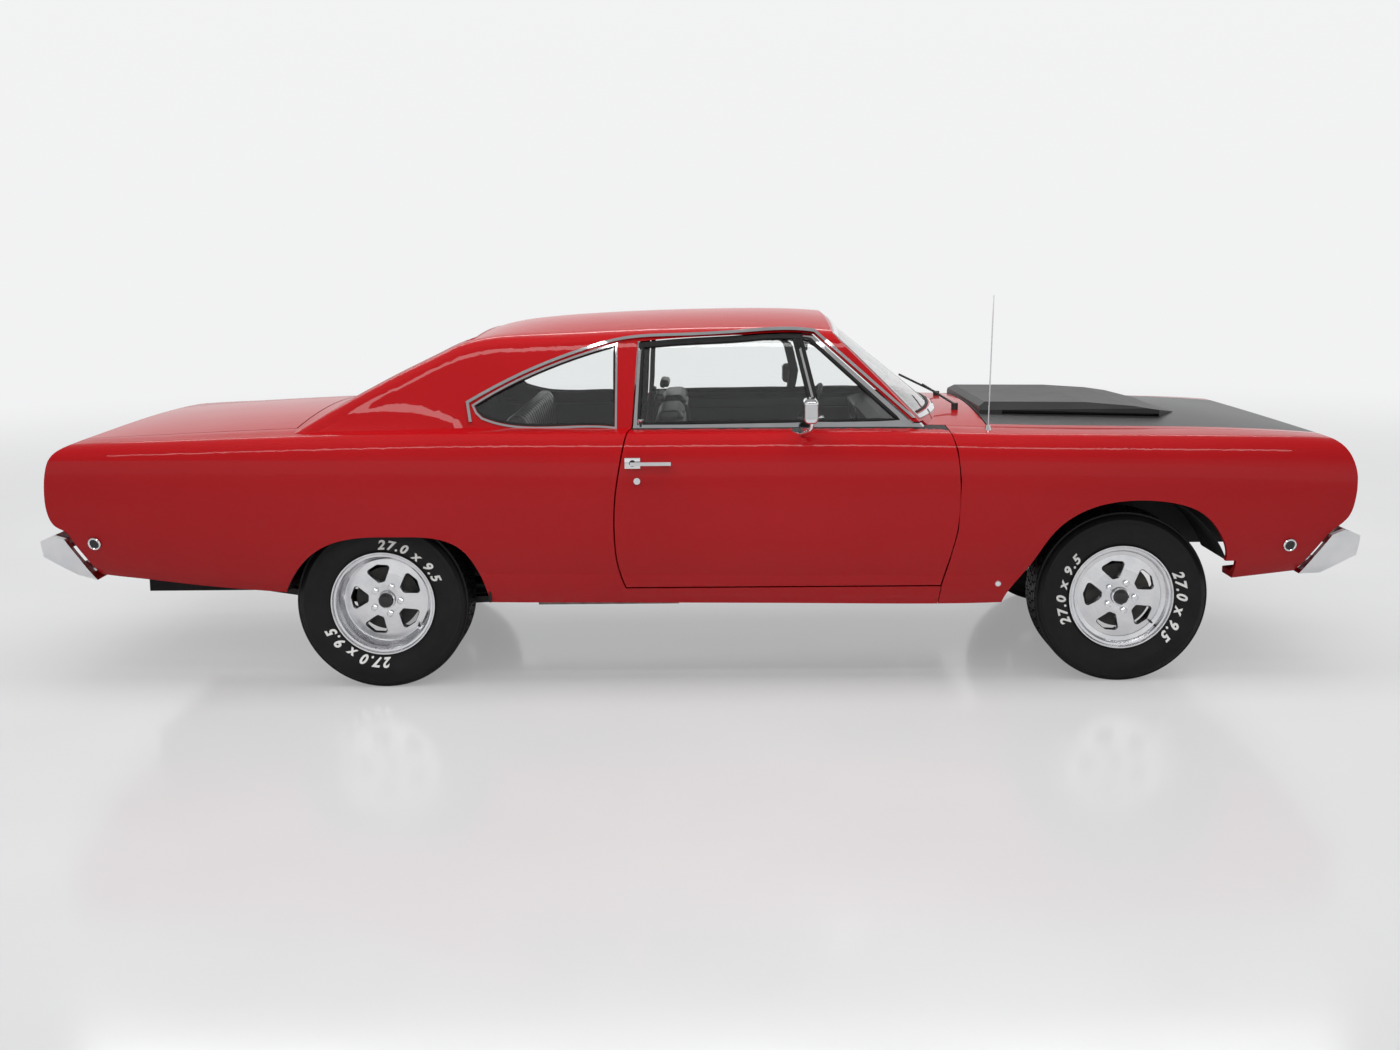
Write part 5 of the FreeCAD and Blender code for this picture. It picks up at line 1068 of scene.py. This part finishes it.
# %% Rings round the marker lamps
MARKERS = {"front": (2.323, 0.562), "rear": (-2.382, 0.603)}
MARKER_RING = [(0.0185, 0.0), (0.0265, 0.0), (0.0265, 0.003), (0.0245, 0.0058), (0.0205, 0.0062),
               (0.0185, 0.004)]
for end, (x, z) in MARKERS.items():
    y, normal = skin_y("side_markers", x, z)
    ring = turned("marker_ring_" + end + "_right", MARKER_RING, Vector((x, y, z)) - normal * 0.001, normal,
                  chrome, "body", 40)
    left_twin(ring, "body")
    print("marker ring", end, round(y, 4))

# %% [markdown]
# ### Lip of the deck lid
# The lid's skin turns down at the rear and ends in a folded lip just ahead of the tail panel. The frame's
# sheet stops short of it, by most in the middle. The lip is a grid whose rows run from the sheet's own
# edge, found by rays from above, along a curve down to the fold, and which is then given its thickness.

# %% Where the lid's sheet ends
LIP_REAR, LIP_LOW, LIP_HALF = -2.519, 0.9645, 0.7405
LIP_COLUMNS, LIP_ROWS, LIP_THICK = 41, 9, 0.0018
LIP_FOLD = Vector((0.001, 0, -0.016))
LIP_AHEAD, LIP_STEP, LIP_STEEP, LIP_SLOPE = -2.40, 0.0005, 1.25, 0.49


def lid_edge(y):
    """The last point of the lid's sheet towards the rear."""
    x = LIP_REAR
    while x < LIP_AHEAD:
        place = first_hit("deck_lid", (x, y, 2.0), (0, 0, -1))[0]
        if place.z > 0:
            return Vector((x, y, place.z))
        x += LIP_STEP


def lip_point(start, row):
    """A point on the curve from the sheet's edge to the fold, whose last row is the fold itself."""
    end = Vector((LIP_REAR, start.y, LIP_LOW))
    if row == LIP_ROWS - 1:
        return end + LIP_FOLD
    reach = start.x - end.x
    bend = max(0.0, (LIP_STEEP * reach - (start.z - end.z)) / (LIP_STEEP - LIP_SLOPE))
    corner = Vector((start.x - bend, start.y, start.z - LIP_SLOPE * bend))
    share = row / (LIP_ROWS - 2)
    return start * (1 - share) ** 2 + corner * 2 * share * (1 - share) + end * share ** 2


print("lid's sheet ends at", round(lid_edge(0.0).x, 4), "in the middle")

# %% The lip as a grid with thickness
lip = start(bpy.ops.mesh.primitive_grid_add, x_subdivisions=LIP_ROWS - 1, y_subdivisions=LIP_COLUMNS - 1,
            size=1.0)
starts = [lid_edge(LIP_HALF * (2 * column / (LIP_COLUMNS - 1) - 1)) for column in range(LIP_COLUMNS)]
for vertex in lip.data.vertices:
    row = round((vertex.co.x + 0.5) * (LIP_ROWS - 1))
    column = round((vertex.co.y + 0.5) * (LIP_COLUMNS - 1))
    vertex.co = lip_point(starts[column], row)
edit(lip, OUTWARDS)
if sum(face.normal.z for face in lip.data.polygons) < 0:
    lip.data.flip_normals()
apply_modifier(lip, "SOLIDIFY", thickness=LIP_THICK)
finish_piece(lip, "deck_lid_lip", red_paint, "deck_lid", 40.0)
print("lip from", round(starts[0].x, 4), "at the sides to", LIP_REAR)

# %% [markdown]
# ## Lamps and grille
# A sealed-beam lamp is a glass dome over a bright bowl. The domes are in the model, so the bowls are
# spun behind them, and a plated ring is spun round each one in front of the black grille.

# %% Headlamp bowls and rings
BOWL = [(0.018, -0.052), (0.044, -0.038), (0.064, -0.016), (0.0732, 0.0), (0.0702, 0.0), (0.062, -0.013),
        (0.042, -0.034), (0.018, -0.047), (0.0, -0.047), (0.0, -0.052)]
LAMP_RING = [(0.0742, 0.0), (0.083, 0.0), (0.083, 0.004), (0.0805, 0.0085), (0.077, 0.0095), (0.0742, 0.006)]
LAMP_Z, BOWL_X, LAMP_RING_X = 0.789, 2.5025, 2.5468
LAMPS_Y = (-0.735, -0.560, 0.560, 0.735)
for number, y in enumerate(LAMPS_Y):
    for name, outline, x in (("lamp_bowl_", BOWL, BOWL_X), ("lamp_ring_", LAMP_RING, LAMP_RING_X)):
        turned(name + str(number), outline, (x, y, LAMP_Z), (1, 0, 0), chrome, "body")
print("headlamps", len(LAMPS_Y))

# %% [markdown]
# ### Tail lamps
# Each tail lamp has a plated frame and thin bars across the red lens. The frame is a block whose front
# and rear faces are inset, taken out and bridged, which leaves a rim.

# %% Tail lamp frames
TAIL_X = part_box("tail_lamps")[0][0]
LAMP_Y0, LAMP_Y1, LAMP_LOW, LAMP_HIGH = -0.850, -0.440, 0.745, 0.850
LAMP_MIDDLE, LAMP_WIDE, LAMP_TALL = (LAMP_Y0 + LAMP_Y1) / 2, LAMP_Y1 - LAMP_Y0, LAMP_HIGH - LAMP_LOW
BARS = 3
rim = box((TAIL_X + 0.003, LAMP_MIDDLE, (LAMP_LOW + LAMP_HIGH) / 2),
          (0.010, LAMP_WIDE + 0.012, LAMP_TALL + 0.012))
edit_faces(rim, lambda centre, normal: abs(normal.x) > 0.9, inset(0.0075),
           (bpy.ops.mesh.delete, {"type": "FACE"}))
bpy.context.tool_settings.mesh_select_mode = (False, True, False)
edit(rim, (bpy.ops.mesh.select_all, {"action": "DESELECT"}), (bpy.ops.mesh.select_non_manifold, {}),
     (bpy.ops.mesh.bridge_edge_loops, {}), (bpy.ops.mesh.select_all, {"action": "SELECT"}), OUTWARDS,
     bevel(0.0015, 2))
finish_piece(rim, "tail_frame_right", chrome, "body")
left_twin(rim, "body")
for number in range(BARS):
    z = LAMP_LOW + (number + 1) * LAMP_TALL / (BARS + 1)
    bar = block("tail_bar_right_" + str(number), (TAIL_X + 0.001, LAMP_MIDDLE, z),
                (0.004, LAMP_WIDE - 0.006, 0.004), 0.001, chrome, "body", 1)
    left_twin(bar, "body")
print("tail lamps at", round(TAIL_X, 4))

# %% [markdown]
# ## Studio
# The car stands on a pale, slightly glossy floor in a white room. The floor turns into the colour of the
# room with distance, so no horizon shows. The world shows white to the camera and through glass. In
# reflections it is white near the horizon and dimmer higher up. Its light on the car is held at a plain
# level.

# %% Floor that fades into the room
ROOM = (0.885, 0.888, 0.895)
PALE, FADE_FROM, FADE_TO, FLOOR_R = 0.34, 4.5, 15.0, 60.0


def seen_directly(tree):
    """1 for rays from the camera, also through glass, and 0 for reflections and light."""
    rays = add_node(tree, "LightPath").outputs
    seen = {0: rays["Is Camera Ray"], 1: rays["Is Transmission Ray"]}
    return add_node(tree, "Math", seen, operation="MAXIMUM").outputs["Value"]


floor = start(bpy.ops.mesh.primitive_circle_add, vertices=96, radius=FLOOR_R, fill_type="NGON",
              location=(0, 0, 0))
floor.name = "floor"
floor_finish, tree, shader = new_finish("floor_finish", 0.12)
place = object_place(tree)
patches = drift(tree, place, 0.6, (0.60, 0.603, 0.608), (0.66, 0.663, 0.668))
tree.links.new(patches, shader.inputs["Base Color"])
vary_roughness(tree, shader, noise(tree, place, 3.0), 0.09, 0.18)
distance = add_node(tree, "VectorMath", {0: place}, operation="LENGTH")
fade = add_node(tree, "MapRange", {"From Min": FADE_FROM, "From Max": FADE_TO, "To Min": PALE,
                                   "Value": distance.outputs["Value"]}, interpolation_type="SMOOTHSTEP")
share = add_node(tree, "Math", {0: fade.outputs["Result"], 1: seen_directly(tree)}, operation="MULTIPLY")
glow = add_node(tree, "Emission", {"Color": (*ROOM, 1.0)})
both = add_node(tree, "MixShader", {"Fac": share.outputs["Value"], 1: shader.outputs["BSDF"],
                                    2: glow.outputs["Emission"]})
tree.links.new(both.outputs["Shader"], tree.nodes["Material Output"].inputs["Surface"])
floor.data.materials.append(floor_finish)
print("floor fades from", FADE_FROM, "to", FADE_TO)

# %% White room
world = bpy.data.worlds.new("studio")
bpy.context.scene.world = world
world.use_nodes = True
tree = world.node_tree
background = tree.nodes["Background"]
split = add_node(tree, "SeparateXYZ", {"Vector": add_node(tree, "TexCoord").outputs["Generated"]})


def strength_by_height(low, high, from_z, to_z):
    """A strength that goes from low to high as the direction of a ray rises from from_z to to_z."""
    heights = {"From Min": from_z, "From Max": to_z, "To Min": low, "To Max": high,
               "Value": split.outputs["Z"]}
    return add_node(tree, "MapRange", heights, interpolation_type="SMOOTHSTEP").outputs["Result"]


def choose(condition, when_false, when_true):
    return add_node(tree, "Mix", {"Factor": condition, "A": when_false, "B": when_true}).outputs["Result"]


glossy = add_node(tree, "LightPath").outputs["Is Glossy Ray"]
lit = choose(glossy, 0.42, strength_by_height(1.0, 0.38, 0.1, 0.5))
shown = choose(seen_directly(tree), lit, strength_by_height(1.0, 1.03, 0.0, 0.5))
tree.links.new(shown, background.inputs["Strength"])
background.inputs["Color"].default_value = (*ROOM, 1.0)
print("room colour", ROOM)


# %% Soft lamps
def soft_lamp(name, place, target, width, height, power, glossy=False):
    light = bpy.data.lights.new(name, "AREA")
    light.shape = "RECTANGLE"
    light.size, light.size_y = width, height
    light.energy = power
    lamp = bpy.data.objects.new(name, light)
    lamp.location = place
    lamp.rotation_euler = (Vector(target) - Vector(place)).to_track_quat("-Z", "Y").to_euler()
    lamp.visible_glossy = glossy
    lamp.visible_camera = lamp.visible_transmission = False
    bpy.context.scene.collection.objects.link(lamp)


soft_lamp("over_lamp", (0.0, -1.2, 5.2), (0.0, 0.0, 0.5), 7.5, 3.0, 220.0)
soft_lamp("side_lamp", (-1.0, -7.5, 4.6), (0.0, 0.0, 0.7), 7.0, 2.0, 150.0)
soft_lamp("far_lamp", (0.5, 6.5, 4.4), (0.0, 0.0, 0.8), 7.0, 2.0, 170.0)
soft_lamp("strip_lamp_right", (0.0, -3.6, 4.0), (0.0, -0.5, 0.9), 9.0, 0.3, 50.0, True)
soft_lamp("strip_lamp_left", (0.0, 3.6, 4.0), (0.0, 0.5, 0.9), 9.0, 0.3, 50.0, True)
bpy.context.scene.view_settings.view_transform = "Standard"
print("lamps", len(bpy.data.lights))
